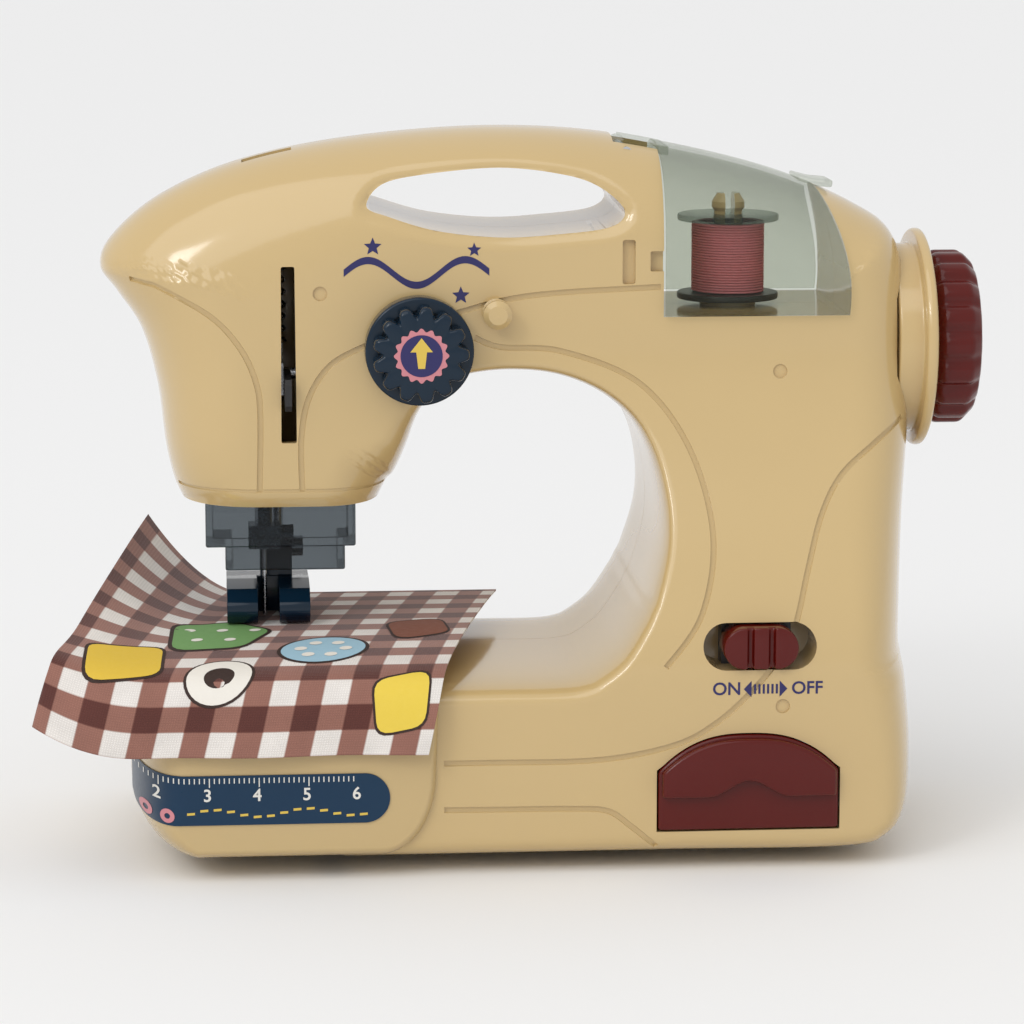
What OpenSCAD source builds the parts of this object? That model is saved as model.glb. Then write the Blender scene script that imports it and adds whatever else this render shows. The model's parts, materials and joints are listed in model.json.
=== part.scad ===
// Toy sewing machine: a moulded clamshell with its drive, needle and feed works, spool lid, drawer and cloth.
// Front is -Y, the shells part at y = 0, and the table is at z = 0.

/* [Body] */
// Height of the sewing bed above the table
bed_z = 40; // [37:0.5:42]
// Height of the arch's ceiling
ceiling_z = 100.8; // [98:0.2:104]
// Height of the arm's top
top_z = 150.3; // [148:0.1:158]
// Height of the head's underside
head_z = 73.2; // [71:0.1:75]
// Left side of the head
head_left = -72; // [-76:0.5:-70]
// Right side of the head
head_right = -27; // [-29:0.5:-25]
// Foremost point of the nose, seen from the front
nose_x = -86.8; // [-94:0.1:-84]
// Height of the nose
nose_z = 121.8; // [119:0.1:124]
// Inner wall of the column, at the arch
arch_right = 28.5; // [26:0.5:29.5]
// Right side of the column
body_right = 84.3; // [83:0.1:90]
// Left end of the base, inside the bed cover
base_left = -38; // [-42:0.5:-36]
// Half depth of the head and the arm
upper_half = 23; // [22.4:0.1:26]
// Depth of the base in front of the parting plane
base_front = 46; // [44:0.5:50]
// Depth of the base behind the parting plane
base_back = 32; // [31:0.5:36]
// Wall of the moulded shells
wall = 2.2; // [1.8:0.1:2.6]
// Underside of the base above the table
floor_z = 2; // [1.5:0.1:3]

/* [Handle] */
// Left tip of the hand hole
handle_left = -31.6; // [-34:0.1:-28]
// Right end of the hand hole
handle_right = 21.7; // [18:0.1:22.2]
// Lowest point of the hand hole
handle_low = 129; // [127:0.1:131]
// Highest point of the hand hole
handle_high = 143; // [140:0.1:144]

/* [Bed cover] */
// Left end of the bed cover
pod_left = -82; // [-88:0.5:-78]
// Right edge of the bed cover
pod_right = -16.5; // [-20:0.5:-14]
// Rise of the bed cover's top above the bed
pod_rise = 5.5; // [4:0.1:7]
// How far the bed cover stands proud of the base
pod_proud = 2; // [1.4:0.1:3]

/* [Drive] */
// Main and lower shaft diameter
shaft_d = 3; // [2.4:0.1:3.2]
// Hand wheel diameter
wheel_d = 37; // [32:0.5:42]
// Hand wheel width
wheel_w = 9.8; // [8:0.1:14]
// Diameter of the flange behind the hand wheel
collar_d = 46.4; // [44:0.2:50]
// Teeth on the drive gear
gear_teeth = 30; // [27:3:30]
// Teeth on the motor pinion
pinion_teeth = 10; // [9:1:10]
// Gear module
gear_module = 0.8; // [0.7:0.05:0.8]
// Motor can diameter
motor_d = 20; // [18:0.5:21]
// Pulley diameter under the belt
pulley_d = 9.2; // [8:0.2:9.6]
// Crank radius
crank_r = 6.5; // [5:0.1:7]

/* [Needle] */
// Needle axis, along the machine
needle_x = -53; // [-54:0.1:-52]
// Needle diameter
needle_d = 0.9; // [0.7:0.05:1.2]
// Needle bar diameter
needle_bar_d = 4; // [3:0.1:4.4]
// Presser bar axis behind the needle
presser_y = 14; // [13:0.1:14.6]
// Presser bar diameter
presser_bar_d = 3.6; // [3:0.1:4]
// Presser foot width
foot_w = 17.5; // [16:0.5:19]
// Throw of the presser lifter's eccentric
lifter_throw = 2.7; // [2:0.1:2.8]

/* [Tension] */
// Tension dial axis along the machine
dial_x = -21.2; // [-23:0.1:-19]
// Tension dial diameter
dial_d = 22.4; // [19:0.1:24]
// Tension dial height off the shell
dial_h = 11.6; // [9:0.1:14]
// Thread post axis along the machine
post_x = -5.1; // [-7:0.1:0]
// Thread post diameter
post_d = 5.9; // [5:0.1:7]

/* [Spool] */
// Spool axis along the machine
spool_x = 46; // [44:0.1:50]
// Spool flange diameter
bobbin_d = 21.5; // [18:0.5:24]
// Spool height
bobbin_h = 18; // [16:0.1:20]
// Spool core diameter under the thread
core_d = 12.4; // [10:0.1:13]
// Thread diameter
thread_d = 0.56; // [0.4:0.02:0.6]
// Loops of thread
thread_loops = 9; // [8:1:14]

/* [Spool lid] */
// Left edge of the lid
lid_left = 30; // [28:0.1:32]
// Right edge of the lid
lid_right = 71.5; // [68:0.1:72]
// Lower edge of the lid
lid_low = 112.6; // [111.5:0.1:114]
// Lid thickness
lid_wall = 1.2; // [1.2:0.1:2]

/* [Switch and drawer] */
// Middle of the switch along the machine
switch_x = 47.4; // [44:0.1:50]
// Middle of the switch above the table
switch_z = 47; // [45:0.1:50]
// Switch knob length
knob_w = 15.4; // [13:0.1:16]
// Switch knob height
knob_h = 8.6; // [7:0.1:9]
// Switch travel to each side
switch_travel = 3.5; // [2:0.1:4]
// Middle of the drawer along the machine
drawer_x = 45.2; // [44:0.1:47]
// Drawer front width
drawer_w = 37.4; // [33:0.1:38]
// Height of the drawer front's lower edge
drawer_z = 8.8; // [8:0.1:10]
// Drawer front height at its crown
drawer_h = 20; // [18:0.1:22]
// Drawer depth from its front to its back
drawer_deep = 33; // [26:0.5:34]

/* [Cloth] */
// Cloth length, back edge to front edge
cloth_l = 96; // [88:1:104]
// Cloth width, left edge to right edge
cloth_w = 78; // [70:1:84]
// Cloth thickness
cloth_t = 0.5; // [0.4:0.05:0.7]

/* [Batteries] */
// Cell diameter
cell_d = 14.2; // [10.5:0.1:14.5]
// Cell length
cell_l = 50.5; // [44.5:0.5:50.5]

/* [Fits] */
// Running clearance of a shaft, on the radius
run_gap = 0.05; // [0.03:0.01:0.08]
// Gap between pieces that slide or swing past each other
move_gap = 0.3; // [0.25:0.05:0.4]
// Gap between pieces that are assembled and stay put
fit_gap = 0.1; // [0.05:0.05:0.2]

/* [Hidden] */
$fn = 48;

shell_beige = "#d3b885";
cover_beige = "#c9ae7c";
deep_red = "#6e1a1c";
navy = "#1c3440";
smoke = [0.42, 0.46, 0.44, 0.45];
steel = "#b9bcc0";
brass = "#c9a24a";
dark = "#26262a";

pod_top = bed_z + pod_rise;
pod_front = base_front + pod_proud;
pod_back = base_back + pod_proud;
shaft_r = shaft_d / 2;
shaft_z = ceiling_z + wall + shaft_r + 0.3;
lower_z = floor_z + wall + cell_d + 6.5;
flare_top = ceiling_z + 6;

// The outline's stations, head to bed: outer [x, z, rounding, squareness], then inner.
// Each line between an outer point and its inner partner is one cross-section.
stations = [
  [[head_left + 1, head_z, 18, 2.3], [head_right - 1, head_z, 14, 2.4]],
  [[head_left, head_z + 2.4, 18, 2.3], [head_right, head_z + 2.4, 14, 2.4]],
  [[head_left - 1.6, head_z + 11, 18, 2.3], [head_right + 1.4, head_z + 4.8, 12, 2.5]],
  [[head_left - 3.2, head_z + 24, 19, 2.3], [head_right + 3, head_z + 8.3, 10, 2.7]],
  [[head_left - 6.4, nose_z - 13, 20, 2.3], [head_right + 4.4, head_z + 12.3, 8, 3]],
  [[nose_x + 3.4, nose_z - 5.2, 24, 2.3], [head_right + 5.5, head_z + 15.8, 7, 3.2]],
  [[nose_x, nose_z, 27, 2.3], [head_right + 6.7, ceiling_z - 8.8, 6, 3.4]],
  [[nose_x + 2.4, nose_z + 6, 30, 2.3], [head_right + 8.6, ceiling_z - 5.8, 5, 3.6]],
  [[nose_x + 12, nose_z + 14.2, 30, 2.3], [head_right + 11.2, ceiling_z - 3.4, 4.5, 3.8]],
  [[head_left + 13, top_z - 7.2, 28, 2.3], [head_right + 14.5, ceiling_z - 1.6, 4, 4]],
  [[handle_left - 6, top_z - 2.5, 24, 2.3], [head_right + 19, ceiling_z - 0.4, 3, 4]],
  [[handle_right - 31.7, top_z, 22, 2.3], [arch_right - 30.5, ceiling_z, 3, 4]],
  [[handle_right - 7.7, top_z - 0.7, 22, 2.3], [arch_right - 23.5, ceiling_z - 0.5, 3, 4]],
  [[lid_left + 6, top_z - 4.4, 22, 2.3], [arch_right - 17, ceiling_z - 2.2, 3, 4]],
  [[lid_right - 15.5, top_z - 9.6, 22, 2.3], [arch_right - 11, ceiling_z - 5.2, 3, 4]],
  [[lid_right + 0.5, top_z - 16.3, 20, 2.3], [arch_right - 6.2, ceiling_z - 9.3, 3, 4]],
  [[body_right - 3.8, top_z - 23, 17, 2.4], [arch_right - 3.2, ceiling_z - 14, 3, 4]],
  [[body_right - 0.5, top_z - 37, 16, 2.4], [arch_right - 1.1, ceiling_z - 20, 3, 4]],
  [[body_right, shaft_z - 12, 16, 2.4], [arch_right, bed_z + 33, 3, 4]],
  [[body_right - 1.1, bed_z + 28, 16, 2.4], [arch_right - 0.5, bed_z + 25.5, 3, 4]],
  [[body_right - 2.5, bed_z + 4.5, 15, 2.5], [arch_right - 2.9, bed_z + 17, 3, 4]],
  [[body_right - 1.2, bed_z, 14, 2.6], [arch_right - 4.2, bed_z + 14.2, 3.2, 4]],
  [[body_right + 0.4, bed_z - 3.5, 13, 2.8], [arch_right - 5.8, bed_z + 11.3, 3.5, 4]],
  [[body_right + 0.7, bed_z - 16, 12, 3], [arch_right - 10, bed_z + 5.2, 4, 4]],
  [[body_right - 0.5, floor_z + 7, 10, 3.4], [arch_right - 14.5, bed_z + 1.7, 4.5, 4]],
  [[body_right - 5, floor_z + 1.2, 8, 3.8], [arch_right - 17.5, bed_z + 0.5, 5, 4]],
  [[body_right - 14.3, floor_z, 7, 4], [arch_right - 22.5, bed_z, 5, 4]],
  [[body_right - 54, floor_z, 7, 4], [arch_right - 34.5, bed_z, 5, 4]],
  [[base_left + 34, floor_z, 7, 4], [base_left + 18, bed_z, 5, 4]],
  [[base_left, floor_z, 7, 4], [base_left, bed_z, 5, 4]]
];
// Sections between two stations
steps = 1;
// Places along a section, close together where the surface rolls over
skin_steps = [0, 0.006, 0.03, 0.08, 0.16, 0.45, 0.68, 0.84, 0.92, 0.965, 0.99, 1];
core_steps = [0, 0.1, 0.45, 0.82, 1];

function clamp01(v) = min(1, max(0, v));
function smooth(u) = let (c = clamp01(u)) c * c * (3 - 2 * c);
function mix(a, b, t) = a + (b - a) * t;
function spline_at(p, i, t) =
  let (n = len(p) - 1, a = p[max(i - 1, 0)], b = p[i], c = p[min(i + 1, n)], d = p[min(i + 2, n)])
  0.5 * (2 * b + (c - a) * t + (2 * a - 5 * b + 4 * c - d) * t * t + (3 * b - a - 3 * c + d) * t * t * t);
function spline(p, k) =
  concat([for (i = [0:len(p) - 2], j = [0:k - 1]) spline_at(p, i, j / k)], [p[len(p) - 1]]);
function loop_spline(p, k) =
  let (n = len(p), q = concat([p[n - 1]], p, [p[0], p[1]]))
  [for (i = [1:n], j = [0:k - 1]) spline_at(q, i, j / k)];
function xz(p) = [p[0], p[1]];
function along(c, i) =
  let (d = xz(c[min(i + 1, len(c) - 1)]) - xz(c[max(i - 1, 0)])) d / norm(d);

outer_line = spline([for (s = stations) s[0]], steps);
inner_line = spline([for (s = stations) s[1]], steps);
sections = len(outer_line);

// Distance from p to an outline, with the rounding and squareness of the edge nearest to it
function to_segment(p, a, b) = let (v = b - a, t = clamp01((p - a) * v / (v * v))) norm(p - a - v * t);
function nearest(p, c) =
  let (d = [for (i = [0:len(c) - 2]) to_segment(p, xz(c[i]), xz(c[i + 1]))], m = min(d), k = search(m, d)[0])
  [m, c[k][2], c[k][3]];
function rolled(d, r, n) = d >= r ? 1 : pow(1 - pow(1 - max(d, 0) / r, n), 1 / n);
function flare(p) =
  (p[0] > head_right + 15 || p[1] < bed_z + 10) ? smooth((flare_top - p[1]) / (flare_top - bed_z)) : 0;
function full_half(p, side) = upper_half + flare(p) * ((side < 0 ? base_front : base_back) - upper_half);
// Half depth of the housing at p = [x, z]: side -1 is the front, 1 the back
function half_depth(p, side) =
  let (o = nearest(p, outer_line), i = nearest(p, inner_line))
  full_half(p, side) * rolled(o[0], o[1], o[2]) * rolled(i[0], i[1], i[2]);

function skin_ring(k, side) =
  let (a = xz(inner_line[k]), b = xz(outer_line[k]))
  concat(
    [[a[0], -2 * side, a[1]]],
    [for (t = skin_steps) let (p = mix(a, b, t)) [p[0], side * max(half_depth(p, side), 0.05), p[1]]],
    [[b[0], -2 * side, b[1]]]
  );
function core_ring(k, side, shift) =
  let (
    u = along(inner_line, k), v = along(outer_line, k),
    a = xz(inner_line[k]) + wall * [-u[1], u[0]], b = xz(outer_line[k]) + (wall + 1) * [v[1], -v[0]],
    mid = [for (t = core_steps) let (p = mix(a, b, t))
      [p[0] + shift[0], side * max(half_depth(p, side) - wall, 1), p[1] + shift[1]]]
  )
  concat([[mid[0][0], -3 * side, mid[0][2]]], mid, [[mid[len(mid) - 1][0], -3 * side, mid[len(mid) - 1][2]]]);

// A closed solid through rings of equally many points
module loft(rings, flip = false) {
  n = len(rings[0]);
  m = len(rings);
  quads = [for (i = [0:m - 2], j = [0:n - 1]) let (a = i * n + j, b = i * n + (j + 1) % n, c = b + n, d = a + n)
    each [[a, b, c], [a, c, d]]];
  caps = [[for (j = [n - 1:-1:0]) j], [for (j = [0:n - 1]) (m - 1) * n + j]];
  faces = concat(quads, caps);
  polyhedron(
    points = [for (r = rings) each r],
    faces = flip ? [for (f = faces) [for (i = [len(f) - 1:-1:0]) f[i]]] : faces
  );
}

module along_y(y0, y1) { translate([0, y1, 0]) rotate([90, 0, 0]) linear_extrude(y1 - y0) children(); }
module along_x(x0, x1) { translate([x0, 0, 0]) rotate([90, 0, 90]) linear_extrude(x1 - x0) children(); }
module rod_x(x0, x1, r, y, z) { translate([x0, y, z]) rotate([0, 90, 0]) cylinder(r = r, h = x1 - x0); }
module rod_y(y0, y1, r, x, z) { translate([x, y1, z]) rotate([90, 0, 0]) cylinder(r = r, h = y1 - y0); }
module rod_z(z0, z1, r, x, y) { translate([x, y, z0]) cylinder(r = r, h = z1 - z0); }
module block(low, high) { translate(low) cube(high - low); }

// Housing
hand_hole = [
  [0, 0.46], [0.057, 0.76], [0.208, 0.9], [0.518, 1], [0.78, 0.885], [0.916, 0.69],
  [1, 0.37], [0.944, 0.14], [0.743, 0.04], [0.518, 0], [0.274, 0.1], [0.085, 0.31]
];
module hand_hole_outline() {
  polygon([for (p = loop_spline(hand_hole, 2))
    [mix(handle_left, handle_right, p[0]), mix(handle_low, handle_high, p[1])]]);
}

// The lid leans back at its right edge: u runs left to right, t from its lower edge to its crown
lid_lean = 6.5;
lid_bulge = 2;
function lid_x(u, t) = mix(lid_left, mix(lid_right, lid_right - lid_lean, t) + lid_bulge * 4 * t * (1 - t), u);
function top_at(x) =
  let (k = [for (i = [1:sections - 2]) if (outer_line[i][1] > nose_z && outer_line[i][0] <= x
    && outer_line[i + 1][0] > x) i][0])
  mix(outer_line[k][1], outer_line[k + 1][1], (x - outer_line[k][0]) / (outer_line[k + 1][0] - outer_line[k][0]));
module lid_outline() {
  crown = top_at(lid_right - lid_lean);
  polygon(concat(
    [[lid_left, lid_low]],
    [for (t = [0:0.25:1]) [lid_x(1, t), mix(lid_low, crown, t)]],
    [[lid_right - lid_lean - 2, top_z + 9], [lid_left, top_z + 9]]
  ));
}

// Screws that hold the two shells, [x, z]
screw_spots = [
  [nose_x + 22, nose_z + 6], [head_left + 6, head_z + 19], [handle_left - 6, handle_low - 8],
  [handle_right - 8, handle_low - 10], [body_right - 12, bed_z + 22], [switch_x + 3, bed_z + 26],
  [body_right - 12, floor_z + 18], [arch_right - 18, bed_z - 7], [base_left + 10, bed_z - 7]
];
screw_r = 1.2;
screw_head_r = 2.6;
screw_seat_y = 6;
boss_r = 3.4;

gear_r = gear_module * gear_teeth / 2;
pinion_r = gear_module * pinion_teeth / 2;
motor_z = shaft_z - gear_r - pinion_r;
gear_x = lid_right + 3.5;
motor_x = lid_right - 26;
motor_l = 25;
bush_r = shaft_r + 2.4;
bush_l = 4;
head_bush_x = dial_x - 12;
pulley_x = arch_right + wall + 3.6;
pulley_w = 5;
neck_r = collar_d / 2 - 3.2;
neck_x = gear_x + 3.5;
rib = 2;
guide_low_z = head_z + 11;
guide_high_z = shaft_z + 17.5;
presser_x = needle_x + 2.5;
lifter_x = presser_x - 8.9;
lifter_r = 4;
lifter_z = guide_low_z + 13;
cell_pitch = cell_d + 0.5;
cell_x0 = base_left + 5 + cell_d / 2;
cell_y0 = -33;
cell_z = floor_z + wall + 0.3 + cell_d / 2;
cell_x1 = cell_x0 + 3 * cell_pitch + cell_d / 2;
lower_bush_x = cell_x1 + 2.4;
tray_z = lid_low - move_gap;
hinge_x = lid_left - 7;
hinge_z = top_at(hinge_x) - 2.4;
hinge_half = 9;
drawer_left = drawer_x - drawer_w / 2;
drawer_right = drawer_x + drawer_w / 2;
runner_gap = 12;

module ribs() {
  $fn = 16;
  reach = 2 * base_front;
  // Seat of the main shaft's left bush
  difference() {
    block([head_bush_x, -reach, shaft_z - 8], [head_bush_x + bush_l, reach, shaft_z + 8]);
    rod_x(head_bush_x - 1, head_bush_x + bush_l + 1, bush_r + fit_gap, 0, shaft_z);
  }
  // Guides of the needle bar and the presser bar
  for (z = [guide_low_z, guide_high_z]) difference() {
    block([nose_x, -reach, z], [needle_x + 13, reach, z + rib]);
    rod_z(z - 1, z + rib + 1, needle_bar_d / 2 + 2 * run_gap, needle_x, 0);
    rod_z(z - 1, z + rib + 1, presser_bar_d / 2 + 2 * run_gap, presser_x, presser_y);
  }
  // Motor cradle
  for (x = [motor_x + 3, motor_x + motor_l - 5]) difference() {
    block([x, -reach, motor_z - motor_d / 2 - 4], [x + rib, reach, motor_z + motor_d / 2 - 3]);
    rod_x(x - 1, x + rib + 1, motor_d / 2 + fit_gap, 0, motor_z);
    block([x - 1, -motor_d / 2 - fit_gap, motor_z], [x + rib + 1, motor_d / 2 + fit_gap, motor_z + motor_d]);
  }
  // Lower shaft seats, at the base's left end and beside the cells
  for (s = [[base_left - 1, -reach], [lower_bush_x, -10]]) difference() {
    block([s[0], s[1], 0], [s[0] + bush_l, reach, bed_z]);
    rod_x(s[0] - 1, s[0] + bush_l + 1, bush_r + fit_gap, 0, lower_z);
  }
  // Cell bay walls
  for (y = [cell_y0 - 4.6, cell_y0 + cell_l + 2.6])
    block([base_left, y, 0], [cell_x1 + 0.6, y + rib, cell_z + cell_d / 2]);
  // Drawer runners
  for (x = [drawer_x - runner_gap, drawer_x + runner_gap])
    block([x - 1, -reach, 0], [x + 1, -base_front + drawer_deep, drawer_z + 0.6 - move_gap]);
  // Shelves above and below the switch body
  for (z = [switch_z - knob_h / 2 - 1 - rib, switch_z + knob_h / 2 + 1])
    block([switch_x - knob_w / 2, -reach, z], [switch_x + knob_w / 2, -base_front + 13, z + rib]);
}

module bosses(side) {
  for (s = screw_spots) hull() for (y = [-4 * side, base_front * side])
    rod_y(y - 1, y + 1, boss_r, s[0], s[1], $fn = 8);
}

module stadium_y(y0, y1, x, z, w, h) {
  hull() for (s = [-1, 1]) rod_y(y0, y1, h / 2, x + s * (w - h) / 2, z, $fn = 20);
}

module front_cuts() {
  // Long slot of the take-up lever
  hull() for (z = [shaft_z - 16.5, shaft_z + 17])
    rod_y(-2 * upper_half, -upper_half / 2, 1.4, needle_x + 5, z, $fn = 16);
  // Seats of the dial's stud and the thread post
  rod_y(-2 * upper_half, 0, 3 + fit_gap, dial_x, shaft_z + 1.5, $fn = 32);
  rod_y(-2 * upper_half, 0, 1.6 + fit_gap, post_x, shaft_z + 8.8, $fn = 24);
  // Thread slot beside the lid, and its notch
  hull() for (z = [shaft_z + 15.5, shaft_z + 22.7])
    rod_y(-2 * upper_half, -upper_half + 1, 1.3, lid_left - 7.6, z, $fn = 16);
  hull() for (z = [shaft_z + 15.5, shaft_z + 22.7])
    rod_y(-2 * upper_half, -upper_half / 2, 0.5, lid_left - 8.4, z, $fn = 12);
  block([lid_left - 3, -2 * upper_half, lid_low + 9], [lid_left, -upper_half + 1, lid_low + 13]);
  // Shallow ejector dimples
  for (s = [[dial_x - 20.2, shaft_z + 13], [switch_x + 6.7, shaft_z - 4], [switch_x + 4.7, bed_z - 5.4]]) {
    y = -half_depth(s, -1);
    translate([s[0], y, s[1]]) rotate([90, 0, 0]) cylinder(r = 1.5, h = 1.2, center = true, $fn = 12);
  }
  // Switch slot
  stadium_y(-2 * base_front, -base_front + 9, switch_x, switch_z, knob_w + 2 * switch_travel + 1, knob_h + 1);
  // Drawer mouth
  along_y(-2 * base_front, -base_front + drawer_deep + 0.5) offset(delta = move_gap) drawer_outline();
}

module rear_cuts() {
  for (s = screw_spots) {
    rod_y(screw_seat_y, 2 * base_back, screw_head_r + 0.4, s[0], s[1], $fn = 8);
    rod_y(-7, screw_seat_y + 1, screw_r + 0.2, s[0], s[1], $fn = 8);
  }
  // Bearing of the presser lifter
  rod_y(presser_y, 2 * upper_half, 3 + 2 * run_gap, lifter_x, lifter_z, $fn = 48);
}

module shell(side) {
  core = concat(
    [core_ring(0, side, [0, -2])],
    [for (k = concat([for (i = [0:2:sections - 2]) i], [sections - 1])) core_ring(k, side, [0, 0])],
    [core_ring(sections - 1, side, [-2, 0])]
  );
  reach = 2 * base_front;
  difference() {
    loft([for (k = [0:sections - 1]) skin_ring(k, side)], flip = side > 0);
    difference() {
      loft(core, flip = side > 0);
      along_y(-reach, reach) offset(delta = wall) hand_hole_outline();
      along_y(-reach, reach) offset(delta = wall + move_gap) lid_outline();
      block([hinge_x - 4, -hinge_half - 4, hinge_z - 5], [hinge_x + 7, hinge_half + 4, top_z + 5]);
      ribs();
      bosses(side);
    }
    along_y(-reach, reach) hand_hole_outline();
    along_y(-reach, reach) offset(delta = move_gap) lid_outline();
    // Pocket and pin holes of the lid's hinge
    block([hinge_x - 2.6, -hinge_half - move_gap, hinge_z - 2.6], [lid_left + 1, hinge_half + move_gap, top_z + 5]);
    rod_y(-hinge_half - 3, hinge_half + 3, 1 + fit_gap, hinge_x, hinge_z, $fn = 24);
    // Slot in the head's top
    hull() for (x = [needle_x - 2, needle_x + 5]) rod_z(guide_high_z + 8, top_z + 5, 1.6, x, -3, $fn = 16);
    // Neck of the wheel's collar
    rod_x(neck_x - 0.5, body_right + 5, neck_r + fit_gap, 0, shaft_z, $fn = 40);
    // Cell bay, closed by its door
    block([base_left + 4.4, cell_y0 - 2.4, -1], [cell_x1 + 0.5, cell_y0 + cell_l + 2.4, cell_z]);
    // Flat underside
    block([-200, -100, -5], [200, 100, floor_z + 0.3]);
    if (side < 0) front_cuts(); else rear_cuts();
    // Parting plane
    block([-200, min(0, -50 * side), -50], [200, max(0, -50 * side), 250]);
    if (side < 0) for (s = screw_spots) rod_y(-9, 7, screw_r + 0.2, s[0], s[1], $fn = 8);
  }
}
module front_shell() { color(shell_beige) shell(-1); }
module rear_shell() { color(shell_beige) shell(1); }

// The drawer front: straight sides and an arched top
function drawer_crown(x) = drawer_z + drawer_h - 7.6 * pow(abs(x - drawer_x) / (drawer_w / 2), 2.6);
module drawer_outline() {
  polygon(concat(
    [[drawer_right, drawer_z], [drawer_left, drawer_z]],
    [for (i = [0:12]) let (x = mix(drawer_left, drawer_right, i / 12)) [x, drawer_crown(x)]]
  ));
}

// Bed cover: a rounded box, its outline [x, z, rounding, squareness] seen from the front
function corner(cx, cz, rx, rz, a0, r0, r1, n) =
  [for (i = [0:n]) let (a = a0 + 90 * i / n) [cx + rx * cos(a), cz + rz * sin(a), mix(r0, r1, i / n), 2.4]];
pod_line = concat(
  corner(pod_left + 14, floor_z + 14, 14, 14, 180, 13, 9, 4),
  corner(pod_right - 14, floor_z + 19, 14, 19, 270, 9, 4.2, 5),
  corner(pod_right - 4.4, pod_top - 4.2, 4.4, 4.2, 0, 3, 5, 3),
  corner(pod_left + 7, pod_top - 5, 7, 5, 90, 6.4, 7, 3),
  [[pod_left, pod_top - 12, 12, 2.4], [pod_left, floor_z + 24, 13, 2.4]]
);
pod_steps = [0, 0.01, 0.05, 0.14, 0.3, 0.55, 1];
function pod_inward(i) =
  let (n = len(pod_line), d = xz(pod_line[(i + 1) % n]) - xz(pod_line[(i + n - 1) % n])) [-d[1], d[0]] / norm(d);
// One ring of the bed cover, from its rim at u = 0 to its flat face at u = 1, set in by an inset
function pod_ring(u, side, inset) =
  [for (i = [0:len(pod_line) - 1])
    let (c = pod_line[i], p = xz(c) + pod_inward(i) * (c[2] * u + inset))
    [p[0], side * max((side < 0 ? pod_front : pod_back) * rolled(u, 1, 2.4) - (u > 0 ? inset : 0), 0), p[1]]];
module pod(inset, places = pod_steps) {
  for (side = [-1, 1]) loft([for (u = places) pod_ring(u, side, inset)], flip = side < 0);
}
plate_w = 26;
plate_d = 28;
plate_t = 0.8;
plate_x = needle_x + 1;

// The base's own section, grown by a gap, where it slides into the bed cover
module base_end(gap) {
  edge = function (side) [for (t = [0, 0.006, 0.04, 0.12, 0.85, 0.94, 0.985, 1])
    [side * (half_depth([base_left + 10, mix(bed_z, floor_z, t)], side) + gap), mix(bed_z + gap, floor_z - gap, t)]];
  back = edge(1);
  along_x(base_left - 2, pod_right + 8)
    polygon(concat(edge(-1), [for (i = [len(back) - 1:-1:0]) back[i]]));
}

module bed_cover() {
  color(cover_beige) difference() {
    pod(0);
    difference() {
      pod(2, [0, 0.05, 0.14, 0.3, 0.55, 0.9]);
      block([base_left + 0.4, -100, -10], [200, 100, 100]);
    }
    base_end(move_gap);
    block([-200, -100, -5], [200, 100, floor_z + 0.6]);
    block([plate_x - plate_w / 2, -plate_d / 2, pod_top - plate_t], [plate_x + plate_w / 2, plate_d / 2, pod_top + 1]);
    block([needle_x - 9, -11, lower_z], [needle_x + 11, 11, pod_top + 1]);
    // Lint slots in the underside
    for (i = [0:7]) hull() for (y = [-5.3, 2.2]) rod_z(-1, floor_z + 3.7, 0.8, needle_x - 3.5 + i * 2.1, y, $fn = 8);
  }
}

// Ruler strip on the cover's front, with a round right end; its left end wraps the corner
label_low = floor_z + 10.3;
label_high = label_low + 10.3;
label_right = needle_x + 24.3;
label_z = (label_low + label_high) / 2;
label_r = (label_high - label_low) / 2;
pod_table = [for (u = pod_steps) [u, pod_front * rolled(u, 1, 2.4)]];
function pod_face(x, z) =
  let (
    c = [pod_left + 14, floor_z + 14], v = [x, z] - c, a = v[1] < 0 ? atan2(-v[1], -v[0]) : 0,
    d = v[1] >= 0 ? x - pod_left : (v[0] < 0 ? 14 - norm(v) : z - floor_z), r = v[0] < 0 ? mix(13, 9, clamp01(a / 90)) : 9
  )
  lookup(clamp01(v[1] >= 0 ? d / 13 : d / r), pod_table);
function label_point(x, j, lift) =
  let (
    half = x > label_right - label_r ? sqrt(max(pow(label_r, 2) - pow(x - label_right + label_r, 2), 0.01)) : label_r,
    z = label_z + half * (j / 2 - 1), e = 0.2, slope = (pod_face(x + e, z) - pod_face(x - e, z)) / (2 * e),
    n = unit([-slope, -1, 0])
  )
  [x, -pod_face(x, z), z] + lift * n;
label_x = concat(
  [for (x = [0.8, 1.3, 2, 2.9, 3.9, 5.5, 7.2, 9, 11, 13.1]) pod_left + x],
  [-62, -55, -48, -41, label_right - label_r, label_right - 3.6, label_right - 2.2, label_right - 1, label_right - 0.2, label_right]
);
module ruler_label() {
  grid = function (lift) [for (x = label_x) [for (j = [0:4]) label_point(x, j, lift)]];
  color("#28455e") sheet(grid(0.7), grid(0.42));
}

// Head
module head_plate() {
  front = core_ring(0, -1, [0, 0]);
  back = core_ring(0, 1, [0, 0]);
  n = len(front);
  mid = (head_left + head_right) / 2;
  outline = concat([for (i = [1:n - 2]) front[i]], [for (i = [n - 2:-1:1]) back[i]]);
  color("#9a9b9c") difference() {
    translate([0, 0, head_z])
      linear_extrude(2) polygon([for (p = outline) [mid + (p[0] - mid) * 0.985, p[1] * 0.985]]);
    block([needle_x - 4.5, -4.5, 0], [needle_x + 8, 4.5, 200]);
    rod_z(0, 200, presser_bar_d / 2 + move_gap, presser_x, presser_y);
  }
}

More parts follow.
